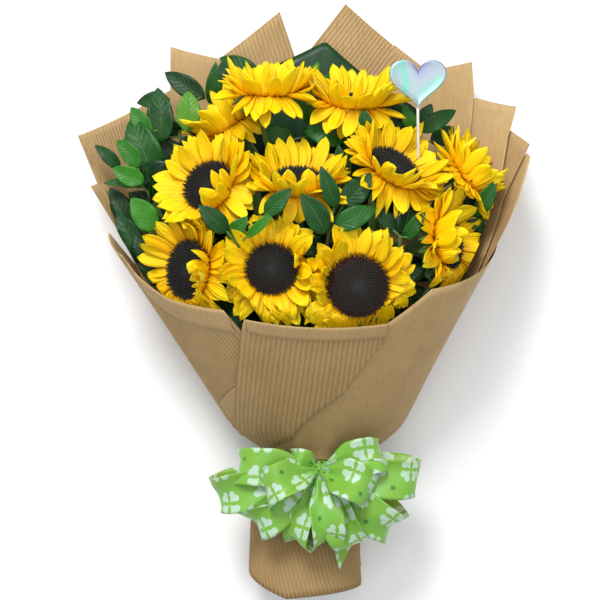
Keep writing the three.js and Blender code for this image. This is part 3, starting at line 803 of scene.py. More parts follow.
@dataclass(frozen=True)
class PetalFinish:
    """Yellow ray petals that turn orange at their foot, with fine lengthwise ridges."""

    base: Color = srgb(226, 136, 0)
    middle: Color = srgb(255, 202, 0)
    tip: Color = srgb(255, 219, 2)
    pale: Color = srgb(255, 230, 16)
    streaks: Point = (34.0, 1.4, 9.0)
    ridges: float = 44.0

    def build(self) -> bpy.types.Material:
        """The petal material.

        Returns:
            The material.
        """
        p = Paint("petal_yellow", Roughness=0.55, Specular_IOR_Level=0.25, Subsurface_Weight=0.12,
                  Subsurface_Scale=0.004, Subsurface_Radius=(1.0, 0.55, 0.05))
        across, along = p.uv()
        shade = p.value_of("shade")
        wander = p.math("MULTIPLY_ADD", shade, 0.22, along)
        color = p.ramp(wander, [(0.02, self.base), (0.3, self.middle), (0.75, self.tip), (1.15, self.pale)])
        blotch = p.noise(130.0, 3.0)
        deeper = p.mix(p.math("MULTIPLY", blotch, 0.5), color, self.middle)
        blade = p.add("ShaderNodeCombineXYZ", {0: across, 1: along, 2: shade})
        streak = p.noise(1.0, 2.0, blade, self.streaks)
        dark = p.mix(p.math("MULTIPLY", p.math("POWER", streak, 3.0), 0.3), deeper, self.base)
        p.color(dark)
        ridges = p.math("SINE", p.math("MULTIPLY", across, self.ridges))
        p.bump(p.math("ADD", ridges, streak), 0.35, 0.5)
        return p.material


@dataclass(frozen=True)
class SeedFinish:
    """A near-black disc with a painted bluish sheen in the middle and a reddish-brown fringe."""

    # heart: a painted sheen, the bluish-green gleam on the middle of the disc.
    heart: Color = srgb(34, 42, 40)
    dark: Color = srgb(26, 15, 9)
    warm: Color = srgb(66, 28, 8)
    fringe: Color = srgb(128, 62, 8)

    def build(self) -> bpy.types.Material:
        """The disc material.

        Returns:
            The material.
        """
        p = Paint("seed_brown", Roughness=0.7, Specular_IOR_Level=0.25, Sheen_Weight=0.03)
        ring = p.value_of("ring")
        wander = p.math("MULTIPLY_ADD", p.noise(300.0, 3.0), 0.16, p.math("SUBTRACT", ring, 0.08))
        # The first stop paints the sheen on the middle of the disc.
        stops = [(0.0, self.heart), (0.38, self.dark), (0.74, self.dark)]
        stops += [(0.9, self.warm), (1.0, self.fringe)]
        p.color(p.ramp(wander, stops))
        p.bump(p.noise(900.0, 2.0), 0.35, 0.4)
        return p.material


@dataclass(frozen=True)
class StemFinish:
    """Ridged, hairy green of stems, cups and bracts."""

    deep: Color = srgb(44, 84, 24)
    fresh: Color = srgb(112, 148, 58)

    def build(self) -> bpy.types.Material:
        """The stem material.

        Returns:
            The material.
        """
        p = Paint("stem_green", Roughness=0.6, Subsurface_Weight=0.05, Subsurface_Scale=0.003,
                  Sheen_Weight=0.2)
        p.color(p.mix(p.noise(70.0, 4.0, stretch=(1.0, 0.25, 1.0)), self.deep, self.fresh))
        p.bump(p.noise(500.0, 2.0, stretch=(1.0, 0.08, 1.0)), 0.5, 0.5)
        return p.material


@dataclass(frozen=True)
class LeafFinish:
    """Glossy leaves with a pale midrib and side veins; tone runs from dark to fresh green."""

    name: str = "leaf_green"
    dark: Color = srgb(8, 48, 18)
    mid: Color = srgb(22, 88, 14)
    fresh: Color = srgb(58, 136, 18)
    olive: Color = srgb(96, 128, 30)
    vein: Color = srgb(112, 158, 84)
    side_veins: float = 8.0
    vein_share: float = 0.4

    def build(self) -> bpy.types.Material:
        """The leaf material.

        Returns:
            The material.
        """
        p = Paint(self.name, Roughness=0.42, Specular_IOR_Level=0.32)
        across, along = p.uv()
        tone = p.value_of("tone")
        cloud = p.noise(60.0, 3.0)
        tinted = p.math("ADD", tone, p.math("MULTIPLY_ADD", cloud, 0.24, -0.12))
        stops = [(0.0, self.dark), (0.4, self.mid), (0.75, self.fresh), (1.0, self.olive)]
        blade = p.ramp(tinted, stops)
        off = p.math("ABSOLUTE", p.math("SUBTRACT", across, 0.5))
        rib = p.math("SUBTRACT", 1.0, p.math("DIVIDE", off, 0.035), clamp=True)
        sweep = p.math("SUBTRACT", along, p.math("MULTIPLY", p.math("POWER", off, 0.8), 0.5))
        wave = p.math("SINE", p.math("MULTIPLY", sweep, self.side_veins * FULL_TURN))
        line = p.math("POWER", p.math("MAXIMUM", wave, 0.0), 14.0)
        fade = p.math("SUBTRACT", 1.0, p.math("MULTIPLY", off, 1.8), clamp=True)
        side = p.math("MULTIPLY", line, fade)
        veins = p.math("MAXIMUM", rib, p.math("MULTIPLY", side, 0.55))
        p.color(p.mix(p.math("MULTIPLY", veins, self.vein_share), blade, self.vein))
        p.roughness(cloud, 0.34, 0.52)
        pillow = p.math("MULTIPLY", p.math("POWER", p.math("MAXIMUM", wave, 0.0), 2.0), fade)
        relief = p.math("ADD", p.math("MULTIPLY", pillow, -0.8), p.math("MULTIPLY", rib, -1.0))
        p.bump(relief, 0.6, 0.9)
        return p.material


@dataclass(frozen=True)
class KraftFinish:
    """Brown kraft paper with fibres and mottling; painted shade darkens its rib grooves and its foot."""

    light: Color = srgb(202, 172, 124)
    dark: Color = srgb(170, 138, 92)
    # The fibre colour also paints shade into the rib grooves.
    fibre_and_groove_shade: Color = srgb(104, 78, 44)
    # Colour of the painted shade toward the foot.
    shade: Color = srgb(138, 108, 66)
    # Share of painted shade in the rib grooves.
    groove_shade_share: float = 0.34
    shade_share: float = 0.5
    shade_from: float = -0.25
    shade_to: float = 0.12

    def build(self) -> bpy.types.Material:
        """The paper material.

        Returns:
            The material.
        """
        p = Paint("kraft_brown", Roughness=0.78, Specular_IOR_Level=0.2, Sheen_Weight=0.05)
        mottled = p.mix(p.noise(22.0, 4.0), self.dark, self.light)
        hair = p.noise(420.0, 5.0, stretch=(1.0, 0.12, 0.4))
        specks = p.math("POWER", hair, 6.0)
        speckled = p.mix(p.math("MULTIPLY", specks, 2.2, clamp=True), mottled, self.fibre_and_groove_shade)
        # Painted shade: the rib grooves are darkened toward the fibre colour.
        groove_shaded = p.mix(p.math("MULTIPLY", p.value_of("groove"), self.groove_shade_share), speckled, self.fibre_and_groove_shade)
        # Painted shade: the paper is darkened toward its foot, where less light falls.
        height = p.add("ShaderNodeSeparateXYZ", {0: p.place()}, out=1)
        limits = {
            "Value": height, "From Min": self.shade_from, "From Max": self.shade_to,
            "To Min": self.shade_share, "To Max": 0.0,
        }
        p.color(p.mix(p.add("ShaderNodeMapRange", limits), groove_shaded, self.shade))
        p.roughness(p.noise(40.0, 2.0), 0.7, 0.86)
        p.bump(hair, 0.25, 0.25)
        return p.material


@dataclass(frozen=True)
class RibbonFinish:
    """Lime satin printed with white four-leaf clovers and small green stars.

    The pattern coordinates are millimetres across and along the ribbon.
    """

    lime: Color = srgb(112, 184, 72)
    deep: Color = srgb(124, 164, 46)
    white: Color = srgb(192, 212, 198)
    star: Color = srgb(28, 112, 44)
    repeat: float = 36.0
    clover: float = 14.0
    star_reach: float = 3.6

    def centred(self, p: Paint, value: Socket, shift: float) -> Socket:
        """A coordinate from the nearest motif's middle."""
        moved = p.math("DIVIDE", p.math("ADD", value, shift), self.repeat)
        return p.math("MULTIPLY", p.math("SUBTRACT", p.math("FRACT", moved), 0.5), self.repeat)

    def build(self) -> bpy.types.Material:
        """The ribbon material.

        Returns:
            The material.
        """
        p = Paint("ribbon_lime", Roughness=0.38, Specular_IOR_Level=0.4, Sheen_Weight=0.35,
                  Sheen_Roughness=0.35, Subsurface_Weight=0.15, Subsurface_Scale=0.003)
        across, along = p.uv()
        x = p.math("ABSOLUTE", self.centred(p, across, 9.0))
        y = p.math("ABSOLUTE", self.centred(p, along, 0.0))
        out = p.math("MULTIPLY", p.math("ADD", x, y), math.sqrt(0.5))
        aside = p.math("ABSOLUTE", p.math("MULTIPLY", p.math("SUBTRACT", x, y), math.sqrt(0.5)))
        far = p.math("SUBTRACT", out, 0.66 * self.clover)
        near = p.math("SUBTRACT", aside, 0.2 * self.clover)
        lobe_reach = p.math("SQRT", p.math("ADD", p.math("POWER", far, 2.0), p.math("POWER", near, 2.0)))
        lobe = p.math("LESS_THAN", lobe_reach, 0.225 * self.clover)
        wedge = p.math("LESS_THAN", aside, p.math("MULTIPLY", p.math("SUBTRACT", out, 1.6), 0.66))
        short = p.math("LESS_THAN", out, 0.7 * self.clover)
        clover = p.math("MAXIMUM", lobe, p.math("MULTIPLY", wedge, short))
        sx = self.centred(p, across, 9.0 + self.repeat / 2.0)
        sy = self.centred(p, along, self.repeat / 2.0)
        reach = p.math("SQRT", p.math("ADD", p.math("POWER", sx, 2.0), p.math("POWER", sy, 2.0)))
        turn = p.math("ARCTAN2", sx, sy)
        points = p.math("ABSOLUTE", p.math("SINE", p.math("MULTIPLY", turn, 2.5)))
        spiked = p.math("MULTIPLY", reach, p.math("MULTIPLY_ADD", points, 1.1, 1.0))
        star = p.math("LESS_THAN", spiked, self.star_reach)
        satin = p.mix(p.noise(55.0, 2.0), self.deep, self.lime)
        printed = p.mix(p.math("MULTIPLY", clover, 0.8), satin, self.white)
        p.color(p.mix(p.math("MULTIPLY", star, 0.85), printed, self.star))
        weave = p.math("SINE", p.math("MULTIPLY", along, 18.0))
        p.bump(weave, 0.12, 0.08)
        return p.material


@dataclass(frozen=True)
class TwineFinish:
    """Coarse twine."""

    light: Color = srgb(178, 146, 92)
    dark: Color = srgb(104, 80, 44)

    def build(self) -> bpy.types.Material:
        """The twine material.

        Returns:
            The material.
        """
        p = Paint("twine_tan", Roughness=0.85)
        strand = p.noise(600.0, 3.0, stretch=(1.0, 3.0, 1.0))
        p.color(p.mix(strand, self.dark, self.light))
        p.bump(strand, 0.6, 0.4)
        return p.material


@dataclass(frozen=True)
class FoilFinish:
    """Silver foil with the broken colours of a holographic sheet."""

    silver: Color = srgb(158, 172, 178)
    mint: Color = srgb(112, 184, 168)
    lilac: Color = srgb(142, 140, 184)

    def build(self) -> bpy.types.Material:
        """The foil material.

        Returns:
            The material.
        """
        p = Paint("foil_silver", Metallic=0.6, Roughness=0.3)
        ray = p.noise(26.0, 1.0, stretch=(1.0, 0.5, 1.0))
        stops = [(0.3, self.lilac), (0.45, self.silver), (0.6, self.mint), (0.72, self.silver)]
        p.color(p.ramp(ray, stops))
        p.roughness(p.noise(90.0, 2.0), 0.24, 0.42)
        p.bump(p.noise(120.0, 1.0), 0.12, 0.4)
        return p.material


@dataclass(frozen=True)
class StickFinish:
    """White plastic of the pick's stick."""

    white: Color = srgb(238, 238, 230)
    worn: Color = srgb(214, 216, 206)

    def build(self) -> bpy.types.Material:
        """The stick material.

        Returns:
            The material.
        """
        p = Paint("stick_white", Roughness=0.35)
        p.color(p.mix(p.noise(180.0, 2.0), self.worn, self.white))
        return p.material


class Finishes:
    """All the materials of the bunch."""

    def __init__(self) -> None:
        """Builds each material once."""
        self.petal = PetalFinish().build()
        self.seed = SeedFinish().build()
        self.stem = StemFinish().build()
        self.leaf = LeafFinish().build()
        self.broad = LeafFinish(
            name="broad_leaf_green", dark=srgb(8, 42, 20), mid=srgb(14, 60, 24), fresh=srgb(24, 84, 28),
            olive=srgb(40, 100, 34), vein=srgb(26, 80, 40), side_veins=2.0, vein_share=0.15,
        ).build()
        self.kraft = KraftFinish().build()
        self.ribbon = RibbonFinish().build()
        self.twine = TwineFinish().build()
        self.foil = FoilFinish().build()
        self.stick = StickFinish().build()


# ---------------------------------------------------------------- the paper wrap


@dataclass(frozen=True)
class Station:
    """The wrap's inner layer at one Y: half width, half height, sideways shift and lift."""

    y: float
    half_width: float
    half_height: float
    shift: float
    lift: float


@dataclass
class WrapShape:
    """The cone that all the sheets follow, nearly flat along its back."""

    layer_step: float = 2.4
    outer_back_layer: int = 3
    flat_share: float = 0.93
    develop: float = 0.47
    soften: float = 6.0
    pleats: int = 15
    pleat_depth: float = 1.7
    pleat_run: float = 34.0
    dent: float = 1.6
    stations: tuple[Station, ...] = (
        Station(-128, 47, 32, -13, 0),
        Station(-50, 44, 30, -13, 0),
        Station(-8, 34, 26, 0, 6),
        Station(8, 34, 26, 0, 6),
        Station(34, 71, 40, -2, 0),
        Station(460, 314, 223, -34, 0),
    )

    def profile(self, y: np.ndarray) -> tuple[np.ndarray, ...]:
        """Half width, half height, shift and lift at each Y, with the corners softened.

        Args:
            y: Heights along the bunch.

        Returns:
            The four numbers, each as an array like y.
        """
        heights = [station.y for station in self.stations]
        columns = ("half_width", "half_height", "shift", "lift")
        tables = [[getattr(station, key) for station in self.stations] for key in columns]
        near = (y - self.soften, y, y + self.soften)
        return tuple(sum(np.interp(part, heights, table) for part in near) / len(near) for table in tables)

    @property
    def apex_run(self) -> float:
        """How far below Y = 0 the cone's sides would meet.

        Returns:
            The distance in millimetres.
        """
        shoulder, mouth = self.stations[-2:]
        spread = (mouth.half_width - shoulder.half_width) / (mouth.y - shoulder.y)
        return shoulder.half_width / spread - shoulder.y

    def billow(self, turn: np.ndarray, y: np.ndarray) -> np.ndarray:
        """Pleats at the waist and slow dents above it, shared by every layer.

        Args:
            turn: Radians round the axis.
            y: Height along the bunch.

        Returns:
            How far the paper stands out.
        """
        gather = self.pleat_depth * np.exp(-((y / self.pleat_run) ** 2))
        pleat = np.sin(self.pleats * turn + 1.4 * np.sin(3.0 * turn) + y / 60.0)
        slow = self.dent * np.sin(2.3 * turn + y / 75.0) * smoothstep(20.0, 120.0, y)
        rounded = smoothstep(25.0, 60.0, np.degrees(np.abs(turn)))
        return rounded * (gather * pleat + slow)

    def point(self, angle: np.ndarray, y: np.ndarray, offset: np.ndarray | float) -> np.ndarray:
        """Points of the wrap.

        Args:
            angle: Degrees round the axis: 0 behind, 90 right, 180 in front.
            y: Height along the bunch.
            offset: Distance outside the inner layer.

        Returns:
            An array of points with one more axis than the angles.
        """
        angle, y, offset = np.broadcast_arrays(np.asarray(angle, float), y, offset)
        half_width, half_height, shift, lift = self.profile(y)
        turn = np.radians((angle + 180.0) % 360.0 - 180.0)
        flat_turn = math.acos(self.flat_share)
        floor = self.outer_back_layer * self.layer_step + lift
        out = offset + self.billow(turn, y)
        normal_x, normal_z = np.sin(turn) / half_width, -np.cos(turn) / half_height
        steep = np.hypot(normal_x, normal_z)
        is_flat = np.abs(turn) <= flat_turn
        level = half_width * math.sin(flat_turn) * turn / flat_turn
        x = np.where(is_flat, level, half_width * np.sin(turn) + out * normal_x / steep)
        rise = half_height * (self.flat_share - np.cos(turn)) + out * normal_z / steep
        z = floor + np.where(is_flat, -offset, rise)
        return np.stack([shift + x, y, z], -1)

    def hold_inside(self, points: np.ndarray, margin: float) -> np.ndarray:
        """Moves points that would pierce the wrap back inside it.

        Args:
            points: Points in layout millimetres.
            margin: How far they stay from the inner layer.

        Returns:
            The points, each at its old Y.
        """
        x, y, z = points.T
        half_width, half_height, shift, lift = self.profile(y)
        floor = self.outer_back_layer * self.layer_step + lift
        side = (x - shift) / half_width
        fall = self.flat_share - (z - floor) / half_height
        reach = np.hypot(side, fall)
        limit = 1.0 - margin / np.minimum(half_width, half_height)
        scale = np.where(reach > limit, limit / np.maximum(reach, 1e-6), 1.0)
        held_z = floor + (self.flat_share - fall * scale) * half_height
        return np.stack([shift + side * scale * half_width, y, np.maximum(held_z, floor + margin)], -1)

    def edge_y(self, corners: Sequence[Corner], angles: np.ndarray) -> np.ndarray:
        """Y of an edge that is straight between its corners when the paper lies flat.

        Args:
            corners: The edge's (angle, Y) corners.
            angles: Where it is asked.

        Returns:
            Y at each angle.
        """
        result = np.zeros(len(angles))
        for number, ((angle0, y0), (angle1, y1)) in enumerate(zip(corners[:-1], corners[1:])):
            inside = (angles >= angle0) | (number == 0)
            here = angles[inside]
            straight = np.interp(here, (angle0, angle1), (y0, y1))
            if min(y0, y1) >= 100.0:
                end = math.radians((angle1 - angle0) * self.develop)
                turn = np.radians((here - angle0) * self.develop)
                run = np.sin(end - turn) / (y0 + self.apex_run) + np.sin(turn) / (y1 + self.apex_run)
                straight = math.sin(end) / run - self.apex_run
            result[inside] = straight
        return result

    def flat_point(self, angle: np.ndarray, y: np.ndarray, middle: float) -> np.ndarray:
        """Where a point of the cone lies when the sheet is laid flat about its middle angle."""
        turn = np.radians((np.asarray(angle, float) - middle) * self.develop)
        return np.stack([(y + self.apex_run) * np.sin(turn), (y + self.apex_run) * np.cos(turn)], -1)

    def cone_place(self, flat: np.ndarray, middle: float) -> tuple[np.ndarray, np.ndarray]:
        """Angle and Y of a point of the flat sheet."""
        turn = np.degrees(np.arctan2(flat[..., 0], flat[..., 1]))
        return middle + turn / self.develop, np.hypot(flat[..., 0], flat[..., 1]) - self.apex_run


def strips(
    outline: np.ndarray, direction: np.ndarray, step: float, run: float
) -> tuple[np.ndarray, np.ndarray]:
    """Fills a flat outline with columns of points that run along a direction.

    Args:
        outline: The corners of the outline, in order.
        direction: The direction of the columns.
        step: Distance between columns.
        run: Distance between the points of the longest column.

    Returns:
        The points as rows, columns, xy, and each column's distance across.
    """
    along = unit(direction)
    across = np.array([along[1], -along[0]])
    s, t = outline @ across, outline @ along
    s_next, t_next = np.roll(s, -1), np.roll(t, -1)
    inset = 0.06
    columns = np.linspace(s.min() + inset, s.max() - inset, max(3, math.ceil((s.max() - s.min()) / step)))
    lows, highs = [], []
    for place in columns:
        crossed = (s - place) * (s_next - place) <= 0.0
        span = np.where(np.abs(s_next - s) < 1e-9, 1e-9, s_next - s)
        cuts = (t + (t_next - t) * (place - s) / span)[crossed]
        lows.append(cuts.min())
        highs.append(max(cuts.max(), cuts.min() + 0.1))
    low, high = np.array(lows), np.array(highs)
    rows = max(3, math.ceil((high - low).max() / run) + 1)
    share = np.linspace(0.0, 1.0, rows)[:, None]
    reach = low + (high - low) * share
    return columns[None, :, None] * across + reach[..., None] * along, columns


class RibSide(Enum):
    """Which face of a sheet carries the ribs."""

    NONE = "none"
    OUTER = "outer"
    INNER = "inner"


@dataclass
class Sheet:
    """One sheet of paper: its layer, its rim and hem as (angle, Y) corners, and its ribs."""

    node: str
    layer: int
    rim: tuple[Corner, ...]
    hem: tuple[Corner, ...]
    ribs: RibSide = RibSide.NONE
    rib_line: tuple[Corner, Corner] | None = None
    cuff: tuple[float, float] | None = None
    cuff_depth: float = 0.0
    foot_start: float | None = None


WAIST_HEM = -8.0

SHEETS = (
    Sheet(
        "paper_back_left", 2, ((-100, 95), (-62, 252), (-61, 318), (-1, 448), (45, 110)),
        ((-100, -112), (45, -116)), RibSide.INNER, ((45, 110), (-1, 448)),
    ),
    Sheet(
        "paper_back_right", 3, ((-45, 110), (3.5, 404), (11.5, 456), (71.5, 308), (72.5, 256), (105, 95)),
        ((-45, -116), (105, -118)), RibSide.INNER, ((3.5, 404), (11.5, 456)),
    ),
    Sheet(
        "paper_liner", 0, ((-75, 120), (-26, 384), (-24, 412), (41, 394), (44, 360), (85, 120)),
        ((-75, WAIST_HEM), (85, WAIST_HEM)),
    ),
    Sheet(
        "paper_side_left", 1, ((-110, 95), (-74, 215), (-73, 268), (-63, 274), (-20, 150)),
        ((-110, WAIST_HEM), (-20, WAIST_HEM)),
    ),
    Sheet(
        "paper_side_right_inner", 1, ((20, 250), (44, 358), (59, 346), (61, 316), (67.5, 274), (98, 100)),
        ((20, WAIST_HEM), (98, WAIST_HEM)),
    ),
    Sheet(
        "paper_side_right_outer", 4, ((60, 240), (71, 300), (74.5, 296), (95.5, 216), (112, 100)),
        ((60, WAIST_HEM), (112, WAIST_HEM)),
    ),
    Sheet(
        "paper_front_left", 4,
        ((116, 75), (185, 112), (208, 130), (212, 150), (224.5, 154), (239, 162),
         (254.5, 184), (257.5, 202), (281.5, 224), (305, 90)),
        ((116, -118), (200, -128), (305, -92)), RibSide.OUTER, ((256, 60), (256, 170)),
        (211.0, 256.0), 20.0, 97.0,
    ),
    Sheet(
        "paper_front_right", 5,
        ((65, 95), (85, 214), (103, 190), (134, 170), (149.5, 138), (165, 118), (250, 60)),
        ((65, WAIST_HEM), (250, WAIST_HEM)),
    ),
    Sheet(
        "paper_front_centre", 6, ((149, 138), (204.5, 142), (216.5, 94), (233, 56), (250.5, 40), (254, 30)),
        ((149, 120), (165, 70), (201, 26), (239.5, 14), (254, 18)), RibSide.OUTER,
        ((216.5, 94), (204.5, 142)), (149.0, 204.5), 12.0,
    ),
)


@dataclass
class SubAssembly:
    """Where a sub-assembly's pieces go, its materials, the wrap's shape, and the tree for stalks."""

    layout: Layout
    finishes: Finishes
    shape: WrapShape
    stalks: Growth


@dataclass
class PaperWrap(SubAssembly):
    """The sheets of kraft paper, with their ribs, cuffs and gathered feet."""

    paper: float = 0.45
    rib_pitch: float = 3.6
    rib_depth: float = 1.0
    rib_step: float = 0.72
    plain_step: float = 2.5
    run: float = 9.0
    foot_top: float = 6.0
    foot_slant: float = -14.0
    foot_girth: float = 0.82
    edge_angle_step: float = 2.0

    def faces_of(self, sheet: Sheet, across: np.ndarray) -> tuple[np.ndarray, np.ndarray, np.ndarray]:
        """Offsets of the outer and inner face at each column, and how deep in a groove it is; the paper's
        material paints shade into the grooves from that depth.

        Args:
            sheet: The sheet.
            across: Distance across the ribs.

        Returns:
            The three arrays, each like across.
        """
        outer = np.full(len(across), sheet.layer * self.shape.layer_step)
        if sheet.ribs is RibSide.NONE:
            return outer, outer - self.paper, np.zeros(len(across))
        groove = 0.5 * (1.0 - np.cos(FULL_TURN * across / self.rib_pitch))
        wave = self.rib_depth * groove
        if sheet.ribs is RibSide.OUTER:
            return outer - wave, outer - self.rib_depth - self.paper, groove
        return outer, outer - self.paper - self.rib_depth + wave, groove

    def cone_part(self, sheet: Sheet) -> Surface:
        """The part of a sheet above the waist.

        Args:
            sheet: The sheet.

        Returns:
            The closed part.
        """
        first, last = sheet.rim[0][0], sheet.rim[-1][0]
        middle = 0.5 * (first + last)
        corners = [angle for angle, _ in sheet.rim + sheet.hem]
        angles = np.unique(np.concatenate([np.arange(first, last, self.edge_angle_step), corners]))
        rim = self.shape.edge_y(sheet.rim, angles)
        hem = np.maximum(self.shape.edge_y(sheet.hem, angles), -self.foot_top)
        flat_rim = self.shape.flat_point(angles, rim, middle)
        flat_hem = self.shape.flat_point(angles, hem, middle)
        direction = np.array([0.0, 1.0])
        if sheet.rib_line is not None:
            start, end = (self.shape.flat_point(angle, y, middle) for angle, y in sheet.rib_line)
            direction = end - start
        step = self.plain_step if sheet.ribs is RibSide.NONE else self.rib_step
        flat, across = strips(np.vstack([flat_rim, flat_hem[::-1]]), direction, step, self.run)
        angle, y = self.shape.cone_place(flat, middle)
        outer, inner, groove = self.faces_of(sheet, across)
        return shell(self.shape.point(angle, y, outer), self.shape.point(angle, y, inner), groove=groove)

    def foot_part(self, sheet: Sheet) -> Surface:
        """The part of a sheet below the waist, which flares again.

        Args:
            sheet: The sheet.

        Returns:
            The closed part.
        """
        hem = list(sheet.hem)
        if sheet.foot_start is not None:
            hem[0] = (sheet.foot_start, hem[0][1])
        corners = [(angle * self.foot_girth, y) for angle, y in hem]
        top = [(corners[-1][0], self.foot_top), (corners[0][0], self.foot_top)]
        slant = math.radians(self.foot_slant)
        direction = np.array([math.sin(slant), -math.cos(slant)])
        flat, across = strips(np.array(corners + top), direction, self.rib_step, self.run)
        angle, y = flat[..., 0] / self.foot_girth, flat[..., 1]
        outer, inner, groove = self.faces_of(sheet, across)
        sink = 0.3
        front = self.shape.point(angle, y, outer - sink)
        return shell(front, self.shape.point(angle, y, inner - sink), groove=groove)

    def cuff_part(self, sheet: Sheet) -> Surface:
        """The smooth strip that is folded over the rim.

        Args:
            sheet: The sheet.

        Returns:
            The closed strip.
        """
        first, last = sheet.cuff
        angles = np.arange(first, last + 0.5, 1.0)
        rim = self.shape.edge_y(sheet.rim, angles)
        share = np.linspace(0.0, 1.0, 6)[:, None]
        fold_in = 0.7
        y = rim + 0.8 - sheet.cuff_depth * share
        lift = sheet.layer * self.shape.layer_step + self.paper + fold_in * np.minimum(share * 6.0, 1.0)
        angle = np.broadcast_to(angles, y.shape)
        front = self.shape.point(angle, y, lift)
        return shell(front, self.shape.point(angle, y, lift - self.paper), groove=0.0)

    def build(self) -> None:
        """Makes every sheet and places it."""
        for sheet in SHEETS:
            parts = [self.cone_part(sheet)]
            if min(y for _, y in sheet.hem) < WAIST_HEM:
                parts.append(self.foot_part(sheet))
            if sheet.cuff is not None:
                parts.append(self.cuff_part(sheet))
            mesh = mesh_of(sheet.node, Surface.joined(parts), self.finishes.kraft)
            self.layout.place(f"kraft_{sheet.node}", mesh, Slot.KRAFT, [sheet.node])


# ---------------------------------------------------------------- the sunflowers


def blade_form(
    length: float, width: float, curl: float, cup: float, twist: float, point: float, hook: float = 0.0
) -> Surface:
    """A pointed petal or bract from the origin along X, facing up.

    Args:
        length: From foot to tip.
        width: At the widest place.
        curl: How far the tip rises, as a share of the length; below zero it falls.
        cup: How far the edges rise, as a share of the width.
        twist: Turn of the tip about the length, in radians.
        point: How sharply the tip closes; larger is blunter.
        hook: Sideways sweep of the tip, as a share of the length.

    Returns:
        A closed thin form of a few dozen faces.
    """
    rows, columns = 8, 5
    thickness = 0.35
    v = np.linspace(0.0, 1.0, rows)[:, None]
    u = np.linspace(-1.0, 1.0, columns)[None, :]
    spread = (0.5 + 0.5 * np.sin(math.pi * (0.85 * v + 0.05))) * np.maximum(1.0 - v**point, 0.0) ** 0.8
    half = np.maximum(0.5 * width * spread, 0.15)
    crease = 0.16 * width * np.cos(FULL_TURN * u) * np.sin(math.pi * np.clip(v, 0.05, 0.9))
    rise = length * curl * v**2 + cup * width * u**2 * spread + 0.5 * crease
    side = half * u
    turn = twist * v
    y = side * np.cos(turn) + hook * length * v**2
    z = rise + side * np.sin(turn)
    x = length * (v - 0.12 * abs(curl) * v**2)
    front = np.stack(np.broadcast_arrays(x, y, z), -1)
    back = front - np.array([0.0, 0.0, thickness])
    uv = np.stack(np.broadcast_arrays(0.5 + 0.5 * u, v), -1)
    return shell(front, back, uv)


def floret_form(top: float, lobes: int) -> Surface:
    """A small tubular floret, taller than wide, closed to a point or open as a star.

    Args:
        top: Its opening, as a share of the plain one.
        lobes: Points round it.

    Returns:
        The closed form.
    """
    profile = [(0.0, -0.6), (0.55, -0.6), (0.8, 0.7), (0.45 * top, 1.3 + 0.5 * top), (0.0, 1.9)]
    surface = lathe(profile, lobes)
    surface.values["ring"] = np.zeros(len(surface.points))
    return surface


@dataclass(frozen=True)
class Habit:
    """How one head holds its petals."""

    tilt: float
    fold_toward: tuple[float, float, float] = (0.0, -1.0, 0.0)
    fold: float = 0.0
    fold_edge: float = 0.2
    droop: float = 0.3
    length: float = 1.0
    jitter: float = 0.28


HABITS = (
    Habit(20, (1.0, -0.3, 0.0), 62, 0.35),
    Habit(22, (1.0, 0.1, 0.0), 44, 0.55),
    Habit(22, (-1.0, 0.2, 0.0), 38, 0.7),
    Habit(28, (-1.0, -0.1, 0.4), 58, 0.3),
    Habit(24, (1.0, -0.8, 0.0), 66, 0.45),
    Habit(38, (0.1, -1.0, 0.5), 26, 0.25, 1.1),
    Habit(36, (-0.3, -1.0, 0.5), 30, 0.25, 1.0),
    Habit(50, (0.0, -0.6, 1.0), 26, -0.4, 0.9),
    Habit(56, (0.0, -1.0, 1.0), 8, 0.0, 1.65, 0.98),
    Habit(40, (0.4, -1.0, 1.0), 24, -0.2, 1.3),
    Habit(44, (0.1, -1.0, 1.0), 14, 0.0, 1.5),
)


@dataclass
class Head:
    """One sunflower's place: read from its disc in the frame."""

    number: int
    centre: np.ndarray
    facing: np.ndarray
    radius: float
    habit: Habit

    @staticmethod
    def from_frame(layout: Layout, number: int, habit: Habit) -> "Head":
        """Finds a head's middle, direction and radius from its disc node.

        Args:
            layout: The layout's place in the frame.
            number: The head's number, from 1.
            habit: How it holds its petals.

        Returns:
            The head.
        """
        points = layout.node_points(f"sunflower_{number:02d}_disc")
        middle = points.mean(axis=0)
        axes = np.linalg.svd(points - middle)[2]
        facing = axes[2]
        depth = (points - middle) @ facing
        radial = np.linalg.norm(points - middle - np.outer(depth, facing), axis=1)
        if np.corrcoef(depth, radial)[0, 1] > 0.0:
            facing, depth = -facing, -depth
        return Head(number, middle + facing * depth.min(), facing, float(radial.max()), habit)

    @property
    def label(self) -> str:
        """The head's name in the frame."""
        return f"sunflower_{self.number:02d}"

    @property
    def axes(self) -> np.ndarray:
        """Rows: the head's own X, Y and facing.

        Returns:
            The three axes.
        """
        reference = np.array([0.0, 0.0, 1.0]) if abs(self.facing[2]) < 0.9 else np.array([0.0, 1.0, 0.0])
        side = unit(np.cross(reference, self.facing))
        return np.array([side, np.cross(self.facing, side), self.facing])

    @property
    def fold_azimuth(self) -> float:
        """The direction of the folded side, in radians about the facing."""
        fold = self.axes @ np.array(self.habit.fold_toward)
        return math.atan2(fold[1], fold[0])

    def out(self, points: np.ndarray) -> np.ndarray:
        """Points of the head's own axes in the layout."""
        return points @ self.axes + self.centre

    def into(self, points: np.ndarray) -> np.ndarray:
        """Layout points in the head's own axes."""
        return (points - self.centre) @ self.axes.T


@dataclass(frozen=True)
class Kit:
    """What a ring or a disc grows from: its tree, the forms that it picks, and its material."""

    tree: Growth
    shapes: bpy.types.Collection
    finish: bpy.types.Material

    def grow(self, name: str, base: bpy.types.Mesh | None = None, **values: object) -> bpy.types.Mesh:
        """The mesh that the tree grows on a base, with the tree's inputs as values."""
        return self.tree.grow(name, base, Forms=self.shapes, Finish=self.finish, **values)


